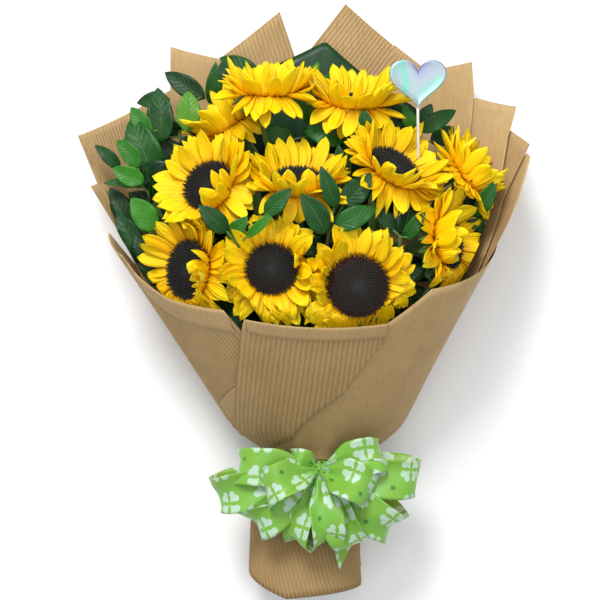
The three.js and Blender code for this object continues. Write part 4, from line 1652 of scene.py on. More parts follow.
@dataclass
class Sunflowers(SubAssembly):
    """The eleven flowers: petals, seed discs, cups with bracts, and stems."""

    heads: list[Head]
    petal_length: float = 34.0
    petal_width: float = 15.0
    petal_count: int = 58
    floret_count: int = 420
    bract_count: int = 26
    calyx_depth: float = 13.0
    petal_inset: float = 2.2
    petal_foot: float = 1.2
    disc_inset: float = 2.5
    disc_sides: int = 36
    cup_inset: float = 2.5
    cup_sides: int = 24
    stem_radius: float = 5.0
    neck: float = 26.0
    crowding: float = 0.5
    crowd_gap: float = 2.0
    crowd_lift: float = 0.55
    margin: float = 4.0

    def crowd(self, head: Head, points: np.ndarray) -> np.ndarray:
        """Presses petals back where they meet a neighbouring head, and lifts them there.

        Args:
            head: The head that the points belong to.
            points: Points in the layout.

        Returns:
            The pressed points.
        """
        moved = points.copy()
        for other in self.heads:
            apart = np.linalg.norm(other.centre - head.centre)
            if other is head or apart > 2.0 * (head.radius + self.petal_length):
                continue
            toward = (other.centre - head.centre) / apart
            room = 0.5 * (apart + head.radius - other.radius) - self.crowd_gap
            past = np.maximum((moved - head.centre) @ toward - room, 0.0)
            squeeze = past * (1.0 - self.crowding)
            moved -= squeeze[:, None] * toward
            moved += (self.crowd_lift * squeeze)[:, None] * head.facing
        return moved

    def settle(self, head: Head, mesh: bpy.types.Mesh) -> bpy.types.Mesh:
        """Moves petals or bracts to their head and presses them among their neighbours.

        Args:
            head: The flower.
            mesh: The mesh in the head's own axes.

        Returns:
            The mesh in the layout.
        """
        points = self.crowd(head, head.out(read_points(mesh)))
        write_points(mesh, self.shape.hold_inside(points, self.margin))
        return mesh

    def petals(self, head: Head, kit: Kit) -> bpy.types.Mesh:
        """Grows one head's petals.

        Args:
            head: The flower.
            kit: What they grow from.

        Returns:
            The mesh in the layout.
        """
        habit = head.habit
        mesh = kit.grow(
            f"{head.label}_petals", Count=self.petal_count, Seed=100 * head.number,
            Radius=head.radius - self.petal_inset, Height=self.petal_foot, Row_Drop=1.0,
            Tilt=math.radians(habit.tilt), Tilt_Jitter=habit.jitter, Row_Tilt=0.34, Length=habit.length,
            Fold_Azimuth=head.fold_azimuth, Fold_Amount=math.radians(habit.fold),
            Fold_Edge=habit.fold_edge, Droop=habit.droop,
        )
        return self.settle(head, mesh)

    def disc(self, head: Head, kit: Kit) -> bpy.types.Mesh:
        """Grows one head's seed disc: a low dome under packed florets.

        Args:
            head: The flower.
            kit: What the florets grow from.

        Returns:
            The mesh in the layout.
        """
        radius = head.radius - self.disc_inset
        dome = [(0.0, 0.4), (radius - 2.0, 0.4), (radius - 0.6, 2.2), (0.8 * radius, 4.4)]
        dome += [(0.55 * radius, 5.9), (0.25 * radius, 6.4), (0.0, 6.5)]
        base = lathe(dome, self.disc_sides)
        base.values["ring"] = np.hypot(base.points[:, 0], base.points[:, 1]) / radius
        mesh = kit.grow(
            f"{head.label}_disc", mesh_of("dome", base), Count=self.floret_count,
            Radius=radius - 0.8, Dome=4.0, Foot=2.6,
        )
        write_points(mesh, head.out(read_points(mesh)))
        return mesh

    def cup(self, head: Head, kit: Kit) -> bpy.types.Mesh:
        """Grows the green cup with its bracts.

        Args:
            head: The flower.
            kit: What the bracts grow from.

        Returns:
            The mesh in the layout.
        """
        depth, radius, habit = self.calyx_depth, head.radius - self.cup_inset, head.habit
        profile = [(0.0, -depth), (0.3 * radius, -depth), (0.55 * radius, -depth + 2.5)]
        profile += [(0.85 * radius, -5.0), (0.97 * radius, -2.6), (0.95 * radius, -1.6), (0.0, -1.6)]
        base = lathe(profile, self.cup_sides)
        base.values["shade"] = np.zeros(len(base.points))
        mesh = kit.grow(
            f"{head.label}_cup", mesh_of("cup", base), Count=self.bract_count,
            Seed=100 * head.number + 50, Radius=0.9 * radius, Height=-3.2, Row_Drop=2.5, Tilt=-0.1,
            Row_Tilt=0.35, Form_Count=3.0, Droop=habit.droop, Fold_Azimuth=head.fold_azimuth,
            Fold_Amount=-habit.droop, Fold_Edge=habit.fold_edge - 0.2,
        )
        return self.settle(head, mesh)

    def stem_line(self, head: Head) -> np.ndarray:
        """The middle of a stem: the middles of the frame stem's sections, then the neck.

        Args:
            head: The flower.

        Returns:
            Points from the cut end to the head.
        """
        source = FRAME["nodes"][f"{head.label}_stem"].data
        points = (read_points(source) - self.layout.anchor) / MM
        ends = np.array([edge.vertices[:] for edge in source.edges])
        start, stop = points[ends[:, 0]], points[ends[:, 1]]
        foot = head.centre - head.facing * (self.calyx_depth + self.neck)
        low = points[:, 1].min()
        line = []
        for y in np.linspace(low + 0.01, foot[1] - 12.0, 12):
            crossed = (start[:, 1] - y) * (stop[:, 1] - y) < 0.0
            a, b = start[crossed], stop[crossed]
            share = ((y - a[:, 1]) / (b[:, 1] - a[:, 1]))[:, None]
            line.append((a + (b - a) * share).mean(axis=0))
        line.append(foot)
        line.append(head.centre - head.facing * (self.calyx_depth - 1.0))
        return smooth_path(line, 60)

    def build(self) -> None:
        """Grows every flower and places its pieces."""
        long, wide = self.petal_length, self.petal_width
        petal_forms = forms("form_petal", [
            blade_form(long, wide, 0.10, 0.10, 0.15, 7.0, 0.10),
            blade_form(long, wide, -0.16, 0.14, -0.3, 6.0, -0.14),
            blade_form(1.08 * long, 0.9 * wide, 0.26, 0.22, 0.5, 5.0, 0.05),
            blade_form(0.92 * long, 1.1 * wide, -0.3, 0.08, 0.2, 8.0, -0.06),
            blade_form(long, 0.8 * wide, 0.02, 0.26, -0.8, 4.5, 0.2),
            blade_form(0.85 * long, wide, 0.42, 0.2, -0.25, 6.5, -0.12),
        ])
        bract_forms = forms("form_bract", [
            blade_form(14.0, 8.0, 0.10, 0.12, 0.1, 2.5),
            blade_form(16.0, 7.0, -0.15, 0.16, -0.2, 2.2),
            blade_form(12.0, 8.5, -0.05, 0.1, 0.3, 2.8),
        ])
        floret_forms = forms("form_floret", [floret_form(1.0, 5), floret_form(0.5, 6), floret_form(1.3, 5)])
        ring, finishes = ring_growth(), self.finishes
        petal_kit = Kit(ring, petal_forms, finishes.petal)
        disc_kit = Kit(floret_growth(), floret_forms, finishes.seed)
        cup_kit = Kit(ring, bract_forms, finishes.stem)
        for head in self.heads:
            label = head.label
            line = line_mesh(f"{label}_line", [self.stem_line(head)], [self.stem_radius])
            pieces = {
                "petals": (Slot.PETAL, self.petals(head, petal_kit)),
                "disc": (Slot.SEED_DISC, self.disc(head, disc_kit)),
                "cup": (Slot.STEM, self.cup(head, cup_kit)),
                "stem": (Slot.STEM, self.stalks.grow(f"{label}_stem", line, Finish=finishes.stem, Sides=12)),
            }
            for name, (slot, mesh) in pieces.items():
                nodes = [] if name == "cup" else [f"{label}_{name}"]
                self.layout.place(f"{name}_{head.number:02d}", mesh, slot, nodes)


# ---------------------------------------------------------------- the foliage


@dataclass(frozen=True)
class Leaf:
    """One leaf that shows: foot, tip and width, how green it is, and its turn in degrees."""

    foot: Point
    tip: Point
    width: float
    tone: float
    turn: float = 0.0


@dataclass(frozen=True)
class Sprig:
    """A stem from its place at the tie, through a bend, to its leaves."""

    name: str
    slot: tuple[float, float]
    via: Point
    leaves: tuple[Leaf, ...]
    fill: int = 9
    palest: float = 0.3


SPRIGS = (
    Sprig("left_top", (-12, 21), (-105, 230, 60), (
        Leaf((-150, 310, 85), (-155, 365, 78), 27, 0.12),
        Leaf((-125, 320, 95), (-125, 360, 92), 25, 0.85),
        Leaf((-110, 355, 60), (-150, 382, 55), 22, 0.05),
        Leaf((-145, 355, 50), (-177, 352, 52), 18, 0.15),
        Leaf((-160, 318, 90), (-180, 345, 86), 18, 0.55),
    ), 18, 0.25),
    Sprig("left_mid", (-24, 30), (-118, 180, 75), (
        Leaf((-155, 275, 95), (-180, 335, 88), 36, 0.28),
        Leaf((-170, 285, 108), (-192, 312, 105), 18, 0.5),
        Leaf((-165, 272, 112), (-195, 285, 113), 20, 0.6),
        Leaf((-190, 285, 88), (-214, 308, 90), 14, 0.1),
        Leaf((-165, 268, 100), (-205, 273, 99), 14, 0.35, 45),
        Leaf((-160, 250, 106), (-161, 285, 118), 16, 0.3, 60),
    ), 20, 0.2),
    Sprig("left_low", (-26.8, 35), (-98, 120, 90), (
        Leaf((-155, 225, 116), (-177, 256, 119), 26, 0.62),
        Leaf((-178, 228, 88), (-200, 268, 84), 28, 0.0),
        Leaf((-168, 195, 98), (-192, 243, 98), 26, 0.1),
        Leaf((-160, 160, 108), (-174, 195, 110), 18, 0.1),
    ), 20, 0.15),
    Sprig("top_left", (-5, 20.5), (-70, 230, 40), (
        Leaf((-105, 350, 45), (-100, 391, 55), 17, 0.25),
        Leaf((-80, 343, 40), (-96, 394, 37), 20, 0.05),
        Leaf((-55, 370, 35), (-98, 400, 26), 24, 0.2),
    )),
    Sprig("top_mid", (5, 20.5), (0, 230, 60), (
        Leaf((-15, 355, 70), (0, 392, 62), 14, 0.6),
        Leaf((-5, 345, 75), (16, 384, 70), 18, 0.45),
        Leaf((-8, 328, 85), (-20, 360, 96), 14, 0.8),
        Leaf((27, 314, 112), (-15, 320, 114), 28, 0.4),
        Leaf((-25, 309, 118), (-50, 322, 122), 20, 0.3),
        Leaf((44, 318, 128), (41, 338, 132), 14, 0.3),
    )),
    Sprig("centre", (6, 55.5), (-6, 125, 120), (
        Leaf((25, 272, 122), (18, 305, 132), 15, 0.2),
        Leaf((15, 244, 178), (1, 281, 188), 17, 0.2),
        Leaf((20, 246, 166), (47, 276, 172), 24, 0.15),
        Leaf((5, 220, 175), (-17, 256, 185), 24, 0.15),
        Leaf((14, 226, 174), (52, 244, 174), 22, 0.4),
        Leaf((-25, 137, 138), (-5, 157, 143), 18, 0.15),
    ), 8, 0.15),
    Sprig("centre_left", (-6, 55.5), (-68, 130, 112), (
        Leaf((-50, 237, 181), (-26, 261, 187), 18, 0.3),
        Leaf((-67, 217, 176), (-42, 239, 184), 10, 0.6),
        Leaf((-84, 222, 174), (-110, 246, 184), 20, 0.15),
        Leaf((-84, 216, 168), (-66, 236, 176), 16, 0.5),
        Leaf((-88, 160, 133), (-72, 129, 146), 18, 0.1),
    ), 8, 0.15),
    Sprig("centre_right", (18.8, 48), (66, 130, 100), (
        Leaf((70, 222, 150), (52, 246, 154), 16, 0.1),
        Leaf((80, 215, 154), (97, 241, 161), 15, 0.35),
    ), 8, 0.15),
    Sprig("top_right", (12.5, 21), (60, 220, 60), (
        Leaf((90, 316, 90), (80, 345, 96), 16, 0.6),
        Leaf((95, 325, 80), (109, 349, 76), 16, 0.05),
        Leaf((96, 320, 98), (131, 341, 96), 18, 0.25),
        Leaf((108, 310, 82), (130, 327, 78), 20, 0.15),
    )),
    Sprig("right_mid", (24.8, 31), (95, 150, 72), (
        Leaf((148, 240, 112), (166, 272, 122), 17, 0.35),
        Leaf((125, 255, 105), (135, 270, 106), 14, 0.2),
        Leaf((154, 240, 106), (126, 246, 110), 18, 0.1),
        Leaf((125, 238, 98), (158, 234, 100), 24, 0.42),
        Leaf((150, 212, 90), (155, 240, 96), 12, 0.0),
    )),
    Sprig("right_low", (26.8, 36), (76, 105, 84), (
        Leaf((130, 180, 118), (94, 190, 124), 22, 0.15),
        Leaf((122, 174, 122), (130, 194, 125), 10, 0.65),
        Leaf((126, 172, 116), (146, 184, 114), 16, 0.12),
        Leaf((92, 148, 126), (106, 173, 130), 14, 0.1),
    ), 8, 0.12),
)


@dataclass
class Foliage(SubAssembly):
    """The leafy sprigs and the broad leaf behind the flowers."""

    heads: list[Head]
    stem_radius: float = 1.8
    stalk_radius: float = 0.9
    cut_y: float = -100.0
    blade: float = 0.5
    rows: int = 14
    columns: int = 9
    margin: float = 4.0
    behind: float = 4.0
    tight_margin: float = 2.5
    wide_leaf_inset: float = 3.2
    broad_rim: tuple[Corner, ...] = ((-20, 345), (-8.5, 384), (7.7, 417), (23.7, 359), (30, 325))
    broad_hem: tuple[Corner, ...] = ((-20, 320), (0, 200), (30, 300))
    keel_height: float = 2.2
    keel_half: float = 2.5
    tuck_near: float = 2.0
    tuck_far: float = 24.0
    tuck_height: float = 40.0
    leaf_seed: int = 500
    fill_seed: int = 900
    plain_leaves: tuple[tuple[float, ...], ...] = (
        (42, 25, 0.06, 0.2, 0.03), (36, 24, 0.1, 0.1, -0.04),
        (48, 26, 0.03, 0.3, 0.02), (38, 20, 0.12, 0.25, -0.02),
    )

    def leaf_surface(self, leaf: Leaf, arch: float, fold: float, bend: float) -> Surface:
        """One leaf: a pointed oval, folded along its midrib and arched along its length.

        Args:
            leaf: Its place, width and tone.
            arch: Rise of its middle as a share of its length.
            fold: Rise of its edges as a share of its half width.
            bend: Sideways bow of its midrib as a share of its length.

        Returns:
            The closed leaf.
        """
        foot, tip = np.array(leaf.foot, float), np.array(leaf.tip, float)
        length = np.linalg.norm(tip - foot)
        along = (tip - foot) / length
        side = rotated(unit(np.cross(along, (0.0, 0.0, 1.0))), along, math.radians(leaf.turn))
        normal = np.cross(side, along)
        v = np.linspace(0.0, 1.0, self.rows)[:, None, None]
        u = np.linspace(-1.0, 1.0, self.columns)[None, :, None]
        spread = np.maximum(np.sin(math.pi * v**0.85), 0.0) ** 0.72 * (1.0 - 0.12 * v)
        half = np.maximum(0.5 * leaf.width * spread, 0.25)
        ripple = 0.05 * leaf.width * np.sin(2.5 * FULL_TURN * v + 2.0 * u) * np.abs(u) ** 2 * spread
        lift = arch * length * 4.0 * v * (1.0 - v) - 0.06 * length * v**3
        lift = lift + fold * half * np.abs(u) ** 1.3 + ripple
        bow = bend * length * 4.0 * v * (1.0 - v)
        front = foot + along * length * v + side * (half * u + bow) + normal * lift
        taper = self.blade * (1.0 - 0.5 * np.abs(u))
        uv = np.concatenate(np.broadcast_arrays(0.5 + 0.5 * u, v), -1)
        return shell(front, front - normal * taper, uv, tone=leaf.tone)

    def tuck(self, points: np.ndarray) -> np.ndarray:
        """Moves leaf points from in front of the flowers to behind them, and inside the wrap.

        Args:
            points: Points of leaves.

        Returns:
            The moved points.
        """
        moved = points.copy()
        for head in self.heads:
            local = head.into(moved)
            radial = np.hypot(local[:, 0], local[:, 1])
            under = 1.0 - smoothstep(head.radius + self.tuck_near, head.radius + self.tuck_far, radial)
            sink = np.maximum(local[:, 2] + self.behind, 0.0) * (local[:, 2] < self.tuck_height) * under
            moved -= sink[:, None] * head.facing
        return self.shape.hold_inside(moved, self.margin)

    def stem_line(self, sprig: Sprig) -> np.ndarray:
        """The middle of a sprig's stem, from its cut end to amid its leaves.

        Args:
            sprig: The sprig.

        Returns:
            Points from the cut end up.
        """
        x, z = sprig.slot
        shift = self.shape.profile(np.array([self.cut_y]))[2][0]
        crown = np.mean([leaf.foot for leaf in sprig.leaves], axis=0)
        return smooth_path([(x + shift, self.cut_y, z), (x, 0, z), sprig.via, crown], 60)

    def sprig_meshes(
        self, sprig: Sprig, number: int, spray: Kit
    ) -> tuple[bpy.types.Mesh, bpy.types.Mesh, bpy.types.Mesh]:
        """Makes a sprig's stalks, its named leaves and the leaves that fill in behind them.

        Args:
            sprig: The sprig.
            number: Its number, for the seeds.
            spray: What the other leaves grow from.

        Returns:
            The stalks, the named leaves and the others.
        """
        chance = np.random.default_rng(self.leaf_seed + number)
        stem = self.stem_line(sprig)
        lines, girths = [stem], [self.stem_radius]
        surfaces = []
        for leaf in sprig.leaves:
            root = stem[np.argmin(np.linalg.norm(stem - np.array(leaf.foot), axis=1))]
            inner = np.array(leaf.foot) + 0.1 * (np.array(leaf.tip) - np.array(leaf.foot))
            if np.linalg.norm(inner - root) > 2.0:
                lines.append(smooth_path([root, 0.5 * (root + inner) + (0, 0, 1.5), inner], 8))
                girths.append(self.stalk_radius)
            arch, fold, bend = chance.uniform((0.02, 0.02, -0.05), (0.12, 0.32, 0.05))
            surfaces.append(self.leaf_surface(leaf, arch, fold, bend))
        stalk_mesh = self.stalks.grow(
            f"stalks_{sprig.name}", line_mesh("lines", lines, girths), Finish=self.finishes.stem, Sides=8
        )
        leaf_mesh = mesh_of(f"leaves_{sprig.name}", Surface.joined(surfaces), self.finishes.leaf)
        top = stem[int(0.5 * len(stem)):]
        fill_mesh = spray.grow(
            f"fill_{sprig.name}", line_mesh("line", [top], [1.0]),
            Count=sprig.fill, Seed=self.fill_seed + 10 * number, Palest=sprig.palest,
        )
        return stalk_mesh, leaf_mesh, fill_mesh

    def broad_leaf(self) -> Surface:
        """The broad leaf against the liner.

        Returns:
            The closed leaf.
        """
        first, last = self.broad_rim[0][0], self.broad_rim[-1][0]
        angles = np.linspace(first, last, 60)
        top = self.shape.edge_y(self.broad_rim, angles)
        foot = self.shape.edge_y(self.broad_hem, angles)
        share = np.linspace(0.0, 1.0, 26)[:, None]
        y = foot + (top - foot) * share
        angle = np.broadcast_to(angles, y.shape)
        peak, high = max(self.broad_rim, key=lambda corner: corner[1])
        low = min(corner[1] for corner in self.broad_hem)
        middle = peak * share
        keel = self.keel_height * np.exp(-(((angle - middle) / self.keel_half) ** 2))
        depth = -self.wide_leaf_inset - keel + 0.6 * np.sin(angle * 1.1)
        uv = np.stack([0.5 + (angle - middle) / (last - first), (y - low) / (high - low)], -1)
        front = self.shape.point(angle, y, depth - self.blade)
        return shell(front, self.shape.point(angle, y, depth), uv, tone=0.35)

    def build(self) -> None:
        """Makes every sprig and the broad leaf, and places them."""
        coarse = replace(self, rows=9, columns=5)
        shapes = forms("form_leaf", [
            coarse.leaf_surface(Leaf((0, 0, 0), (length, 0, 0), width, 0), *bends)
            for length, width, *bends in self.plain_leaves
        ])
        spray = Kit(spray_growth(), shapes, self.finishes.leaf)
        for number, sprig in enumerate(SPRIGS):
            stalk_mesh, leaf_mesh, fill_mesh = self.sprig_meshes(sprig, number, spray)
            for mesh in (stalk_mesh, leaf_mesh):
                write_points(mesh, self.shape.hold_inside(read_points(mesh), self.tight_margin))
            write_points(fill_mesh, self.tuck(read_points(fill_mesh)))
            self.layout.place(f"stalks_{sprig.name}", stalk_mesh, Slot.STEM)
            self.layout.place(f"leaves_{sprig.name}", leaf_mesh, Slot.LEAF, [f"sprig_{sprig.name}"])
            self.layout.place(f"fill_{sprig.name}", fill_mesh, Slot.LEAF)
        mesh = mesh_of("broad_leaf", self.broad_leaf(), self.finishes.broad)
        self.layout.place("broad_leaf_blade", mesh, Slot.BROAD_LEAF, ["broad_leaf"])


# ---------------------------------------------------------------- tie, ribbon and pick


@dataclass(frozen=True)
class Loop:
    """One loop of the bow, from the knot to its far end."""

    tip: Point
    height: float
    roll: float = 0.0
    width: float = 38.0


BOW_LOOPS = (
    Loop((-80, 3, -4), 20, 8, 36),
    Loop((-100, -24, -12), 22, -6),
    Loop((-66, -52, -6), 20, -14),
    Loop((-52, -20, 18), 24, 20, 34),
    Loop((-20, -72, 0), 18, 30, 30),
    Loop((8, -70, 6), 20, -10, 32),
    Loop((34, -72, 0), 18, 14, 36),
    Loop((74, -56, -8), 22, 12),
    Loop((96, -8, -8), 22, 6),
    Loop((62, 14, 4), 18, -16, 36),
    Loop((50, -20, 18), 26, -14),
    Loop((-30, 8, 6), 14, 10, 30),
)


@dataclass
class Ribbon(SubAssembly):
    """The satin ribbon: the band round the waist, and the bow in front."""

    width: float = 38.0
    cloth: float = 0.3
    band_half: float = 7.5
    band_waves: int = 6
    band_depth: float = 3.4
    front_layers: int = 7
    back_layers: int = 4
    knot_place: Point = (0.0, -2.0, 98.0)
    knot_half: float = 8.0
    knot_radii: tuple[float, float] = (7.0, 8.0)
    knot_sink: float = 4.0
    knot_mean: float = 10.0
    neck_share: float = 0.24
    pinch: float = 0.3
    pleat_height: float = 4.2
    crown_height: float = 4.0
    flutter: float = 2.2
    tail_slant: float = 14.0
    tail_share: float = 0.72
    tail_steps: tuple[Point, ...] = ((0, 0, 0), (12, -30, 2), (24, -62, -6), (33, -92, -12))

    def pattern(self, across: np.ndarray, along: np.ndarray) -> np.ndarray:
        """Millimetres across and along the ribbon, from places across it that run from -1 to 1."""
        return np.stack(np.broadcast_arrays(0.5 * self.width * (across + 1.0), along), -1)

    def offset(self, angle: np.ndarray) -> np.ndarray:
        """The band's distance outside the inner layer, over more layers in front.

        Args:
            angle: Degrees round the axis.

        Returns:
            The distance at each angle.
        """
        turn = np.abs((angle + 180.0) % 360.0 - 180.0)
        share = smoothstep(25.0, 75.0, turn)
        return self.shape.layer_step * (self.back_layers + (self.front_layers - self.back_layers) * share)

    def band(self) -> tuple[Surface, float]:
        """The gathered band and its girth.

        Returns:
            The closed band, and its girth.
        """
        angles = np.linspace(0.0, 360.0, 181)[None, :]
        across = np.linspace(-1.0, 1.0, 33)[:, None]
        drift = 0.5 * np.sin(np.radians(angles) * 5.0)
        wave = FULL_TURN * self.band_waves * (0.5 * across + 0.03 * drift)
        fold = 0.5 * self.band_depth * (1.0 - np.cos(wave))
        y = self.band_half * across
        behind = np.cos(np.radians(angles)) * 0.5 + 0.5
        out = self.offset(angles) + 1.0 - fold * (1.0 - 0.3 * behind**4)
        front = self.shape.point(angles, y, out)
        girth = float(np.linalg.norm(np.diff(front[len(front) // 2], axis=0), axis=1).sum())
        uv = self.pattern(across, girth * angles / 360.0)
        return shell(front, self.shape.point(angles, y, out - self.cloth), uv), girth

    def loop(self, knot: np.ndarray, loop: Loop, start: float) -> tuple[Surface, float]:
        """One loop: out from the knot, round and back, gathered where it starts.

        Args:
            knot: The middle of the knot.
            loop: Where the loop goes.
            start: Where the loop starts along the ribbon, for its pattern.

        Returns:
            The closed thin loop and the length of ribbon in it.
        """
        reach = np.array(loop.tip, float)
        length = np.linalg.norm(reach)
        along = reach / length
        side = unit(np.cross(along, (0.0, 0.0, 1.0)))
        side = rotated(side, along, math.radians(loop.roll))
        up = np.cross(side, along)
        turn = np.linspace(0.03, 0.97, 49) * FULL_TURN
        out = 0.5 * (1.0 - np.cos(turn)) * length
        rise = 0.78 * loop.height * np.sin(turn) * (1.0 - np.cos(turn)) ** 0.6
        spine = knot + along * out[:, None] + up * rise[:, None]
        tangent = np.gradient(spine, axis=0)
        tangent /= np.linalg.norm(tangent, axis=1)[:, None]
        face = np.cross(tangent, side)
        flared = smoothstep(0.02, self.neck_share * 2.2, out / length)
        narrowed = 1.0 - 0.1 * smoothstep(0.8, 1.0, out / length)
        open_share = self.pinch + (1.0 - self.pinch) * flared * narrowed
        across = np.linspace(-1.0, 1.0, 15)
        gather = (1.0 - open_share)[:, None]
        pleat = self.pleat_height * gather * np.cos(FULL_TURN * across)[None, :]
        crown = self.crown_height * (1.0 - across[None, :] ** 2) * open_share[:, None]
        spread = 0.5 * loop.width * open_share[:, None] * across[None, :]
        flutter = self.flutter * np.sin(2.2 * turn[:, None] + 2.4 * across[None, :] + 0.05 * start)
        lift = pleat + crown + flutter * open_share[:, None]
        front = spine[:, None] + side * spread[..., None] + face[:, None] * lift[..., None]
        run = float(np.linalg.norm(np.diff(spine, axis=0), axis=1).sum())
        v = start + run * np.linspace(0.0, 1.0, len(turn))
        uv = self.pattern(across, v[:, None])
        return shell(front, front - face[:, None] * self.cloth, uv), run

    def tail(self, knot: np.ndarray, start: float) -> tuple[Surface, float]:
        """The pointed tail that hangs from under the bow.

        Args:
            knot: The middle of the knot.
            start: Where it starts along the ribbon, for its pattern.

        Returns:
            The closed tail, and its length.
        """
        path = smooth_path(knot + np.array(self.tail_steps, float), 24)
        share = np.linspace(0.0, 1.0, len(path))
        half = 0.5 * self.width * (self.pinch + (1.0 - self.pinch) * smoothstep(0.0, 0.45, share))
        across = np.linspace(-1.0, 1.0, 11)
        along = unit(path[-1] - path[0])
        side = unit(np.cross(along, (0.0, 0.0, 1.0)))
        slant = self.tail_slant * smoothstep(0.55, 1.0, share)[:, None] * (across[None, :] - 1.0)
        wave = self.flutter * np.sin(3.0 * across[None, :] + 4.0 * share[:, None])
        front = path[:, None] + side * (half[:, None] * self.tail_share * across[None, :])[..., None]
        front = front + along * slant[..., None] + np.array([0.0, 0.0, 1.0]) * wave[..., None]
        run = float(np.linalg.norm(np.diff(path, axis=0), axis=1).sum())
        v = start + run * share
        uv = self.pattern(across, v[:, None])
        return shell(front, front - np.array([0.0, 0.0, self.cloth]), uv), run

    def knot_wrap(self, knot: np.ndarray) -> tuple[Surface, float]:
        """The short turn of ribbon that covers the middle of the bow.

        Args:
            knot: The middle of the knot.

        Returns:
            The closed turn, and its length.
        """
        turn = np.linspace(0.0, 0.96, 41)[:, None] * FULL_TURN
        across = np.linspace(-1.0, 1.0, 21)[None, :]
        fold = 1.3 * np.cos(3.0 * math.pi * across) + 0.4 * np.sin(2.0 * turn)
        radius_y, radius_z = (radius + fold for radius in self.knot_radii)
        x = np.broadcast_to(self.knot_half * across, fold.shape)
        middle = knot - (0.0, 0.0, self.knot_sink)
        front = middle + np.stack([x, radius_y * np.sin(turn), radius_z * np.cos(turn)], -1)
        inner_y, inner_z = radius_y - self.cloth, radius_z - self.cloth
        back = middle + np.stack([x, inner_y * np.sin(turn), inner_z * np.cos(turn)], -1)
        uv = self.pattern(across, self.knot_mean * turn)
        return shell(front, back, uv), self.knot_mean * FULL_TURN

    def build(self) -> None:
        band, girth = self.band()
        mesh = mesh_of("ribbon_waist", band, self.finishes.ribbon)
        piece = self.layout.place("ribbon_waist", mesh, Slot.RIBBON, ["ribbon_band"])
        knot = np.array(self.knot_place)
        parts: list[Surface] = []
        total = 0.0
        for loop in BOW_LOOPS:
            surface, run = self.loop(knot, loop, total)
            parts.append(surface)
            total += run
        for surface, run in (self.tail(knot, total), self.knot_wrap(knot)):
            parts.append(surface)
            total += run
        mesh = mesh_of("ribbon_loops", Surface.joined(parts), self.finishes.ribbon)
        piece = self.layout.place("ribbon_loops", mesh, Slot.RIBBON, ["ribbon_bow"])
        log.info("ribbon: band %.0f mm, bow %.0f mm", girth, total)


@dataclass
class Twine(SubAssembly):
    """The twine wound round the stems under the paper."""

    turns: int = 6
    radius: float = 0.75
    half_length: float = 4.0
    inset: float = 2.4

    def build(self) -> None:
        """Winds the twine and places it."""
        share = np.linspace(0.0, 1.0, self.turns * 36)
        y = self.half_length * (2.0 * share - 1.0)
        line = self.shape.point(share * self.turns * 360.0, y, -self.inset)
        winding = line_mesh("winding", [line], [self.radius])
        mesh = self.stalks.grow("twine", winding, Finish=self.finishes.twine, Sides=6)
        self.layout.place("twine", mesh, Slot.TIE, ["stem_tie"])


@dataclass
class HeartPick(SubAssembly):
    """The plain foil heart and the stick that carries it."""

    dish: float = 0.5
    sides: int = 72
    stick_radius: float = 1.3

    def outline(self, low: np.ndarray, high: np.ndarray) -> np.ndarray:
        """The heart's outline, fitted to its box.

        Args:
            low: The lowest corner of its box.
            high: The highest corner of its box.

        Returns:
            The corners, in order.
        """
        t = np.linspace(0.0, FULL_TURN, self.sides, endpoint=False)
        x = 16.0 * np.sin(t) ** 3
        y = 13.0 * np.cos(t) - 5.0 * np.cos(2 * t) - 2.0 * np.cos(3 * t) - np.cos(4 * t)
        flat = np.stack([x, y], -1)
        share = (flat - flat.min(0)) / (flat.max(0) - flat.min(0))
        return low[:2] + share * (high[:2] - low[:2])

    def heart(self, low: np.ndarray, high: np.ndarray) -> Surface:
        """A thin heart with a raised rim line.

        Args:
            low: The lowest corner of its box.
            high: The highest corner of its box.

        Returns:
            The closed heart.
        """
        edge = self.outline(low, high)
        middle = np.array([(low[0] + high[0]) / 2.0, low[1] + 0.55 * (high[1] - low[1])])
        shares = np.array([0.002, 0.01, 0.5, 0.86, 0.9, 0.95, 1.0])[:, None, None]
        raised = np.array([0.0, 0.0, 0.0, 0.0, 0.35, 0.35, 0.0])[:, None]
        flat = middle + (edge - middle) * shares
        top = np.broadcast_to(high[2] - self.dish + raised, flat.shape[:-1])
        front = np.concatenate([flat, top[..., None]], -1)
        back = np.concatenate([flat, np.full_like(top, low[2])[..., None]], -1)
        front, back = (np.concatenate([grid, grid[:, :1]], axis=1) for grid in (front, back))
        return shell(front, back)

    def build(self) -> None:
        """Makes the heart and its stick, and places them."""
        low, high = self.layout.node_box("pick_heart")
        mesh = mesh_of("heart", self.heart(low, high), self.finishes.foil)
        self.layout.place("heart_foil", mesh, Slot.FOIL, ["pick_heart"])
        stick_low, stick_high = self.layout.node_box("pick_stick")
        x = 0.5 * (low[0] + high[0])
        inset = self.stick_radius
        top = np.array([x, stick_high[1], stick_high[2] - inset])
        bend = np.array([x, low[1] - 4.0, stick_high[2] - inset])
        end = np.array([stick_high[0] - inset, stick_low[1] + 1.0, stick_low[2] + inset])
        line = np.vstack([np.linspace(top, bend, 8), np.linspace(bend, end, 12)[1:]])
        path = line_mesh("stick", [line], [self.stick_radius])
        mesh = self.stalks.grow("stick", path, Finish=self.finishes.stick, Sides=12)
        self.layout.place("pick_stick_white", mesh, Slot.STICK, ["pick_stick"])


# ---------------------------------------------------------------- the stage


@dataclass(frozen=True)
class Lamp:
    """A square soft light: where it stands and points in metres, its side, and its watts."""

    name: str
    place: Point
    target: Point
    size: float
    power: float


LAMPS = (
    Lamp("key", (-0.6, 1.9, 2.3), (0.0, 0.05, 0.08), 1.0, 72.0),
    Lamp("over", (0.3, 0.2, 2.8), (0.0, 0.0, 0.0), 2.4, 26.0),
)


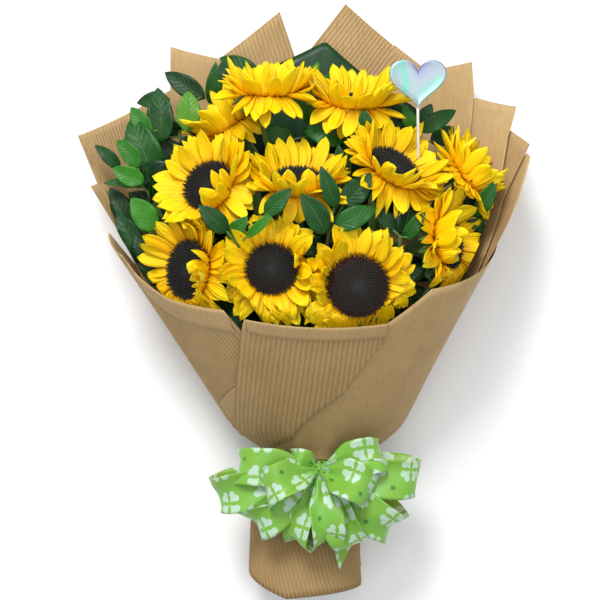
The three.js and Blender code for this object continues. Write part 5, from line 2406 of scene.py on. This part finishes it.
@dataclass
class Studio:
    """Pale floor, soft light from the flowers' end and above, and the camera overhead."""

    camera_over: tuple[float, float] = (-18.0, 160.0)
    camera_height: float = 2000.0
    field: float = 600.0
    sensor: float = 36.0
    floor_half: float = 6.0
    floor_gap: float = 0.0004
    sky: float = 0.55

    def floor(self) -> None:
        """A wide pale floor just under the bunch."""
        half, low = self.floor_half, -self.floor_gap
        mesh = bpy.data.meshes.new("floor")
        corners = [(-half, -half, low), (half, -half, low), (half, half, low), (-half, half, low)]
        mesh.from_pydata(corners, [], [(0, 1, 2, 3)])
        paint = Paint("floor_white", Roughness=0.9, Specular_IOR_Level=0.1)
        paint.color(paint.mix(paint.noise(3.0), srgb(250, 250, 250), srgb(253, 253, 253)))
        mesh.materials.append(paint.material)
        floor = bpy.data.objects.new("floor", mesh)
        bpy.context.scene.collection.objects.link(floor)
        floor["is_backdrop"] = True

    def light(self, lamp: Lamp) -> None:
        """Hangs a lamp and points it.

        Args:
            lamp: The lamp.
        """
        light = bpy.data.lights.new(lamp.name, "AREA")
        light.size, light.energy = lamp.size, lamp.power
        holder = bpy.data.objects.new(lamp.name, light)
        holder.location = lamp.place
        aim = Vector(lamp.target) - Vector(lamp.place)
        holder.rotation_euler = aim.to_track_quat("-Z", "Y").to_euler()
        bpy.context.scene.collection.objects.link(holder)

    def build(self, layout: Layout) -> None:
        """Sets the floor, the lights, the sky and the camera.

        Args:
            layout: The layout's place in the frame.
        """
        self.floor()
        for lamp in LAMPS:
            self.light(lamp)
        world = bpy.data.worlds.new("studio")
        world.use_nodes = True
        sky = world.node_tree.nodes["Background"].inputs
        sky["Color"].default_value = srgb(246, 250, 255)
        sky["Strength"].default_value = self.sky
        bpy.context.scene.world = world
        bpy.context.scene.view_settings.view_transform = "Standard"
        camera = bpy.data.cameras.new("overhead")
        camera.sensor_width = self.sensor
        camera.lens = self.sensor * self.camera_height / self.field
        eye = bpy.data.objects.new("overhead", camera)
        eye.location = (
            layout.anchor[0] + self.camera_over[0] * MM,
            layout.anchor[1] + self.camera_over[1] * MM,
            self.camera_height * MM,
        )
        bpy.context.scene.collection.objects.link(eye)
        bpy.context.scene.camera = eye


# ---------------------------------------------------------------- the bunch


def as_lists(box: Sequence[Sequence[float]]) -> list[list[float]]:
    """A box as plain lists of numbers."""
    return [[float(value) for value in corner] for corner in box]


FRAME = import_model()


def main() -> None:
    """Builds the bunch piece by piece."""
    cad_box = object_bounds()
    layout = Layout()
    common = (layout, Finishes(), WrapShape(), stalk_growth())
    heads = [Head.from_frame(layout, number, habit) for number, habit in enumerate(HABITS, start=1)]
    parts = (
        PaperWrap(*common), Sunflowers(*common, heads), Foliage(*common, heads),
        Ribbon(*common), Twine(*common), HeartPick(*common),
    )
    for part in parts:
        log.info("building %s", type(part).__name__)
        part.build()
    clear_forms()
    Studio().build(layout)
    visual_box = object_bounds()
    log.info("%d pieces; frame %s, visual %s", layout.count, as_lists(cad_box), as_lists(visual_box))


if __name__ == "__main__":
    main()
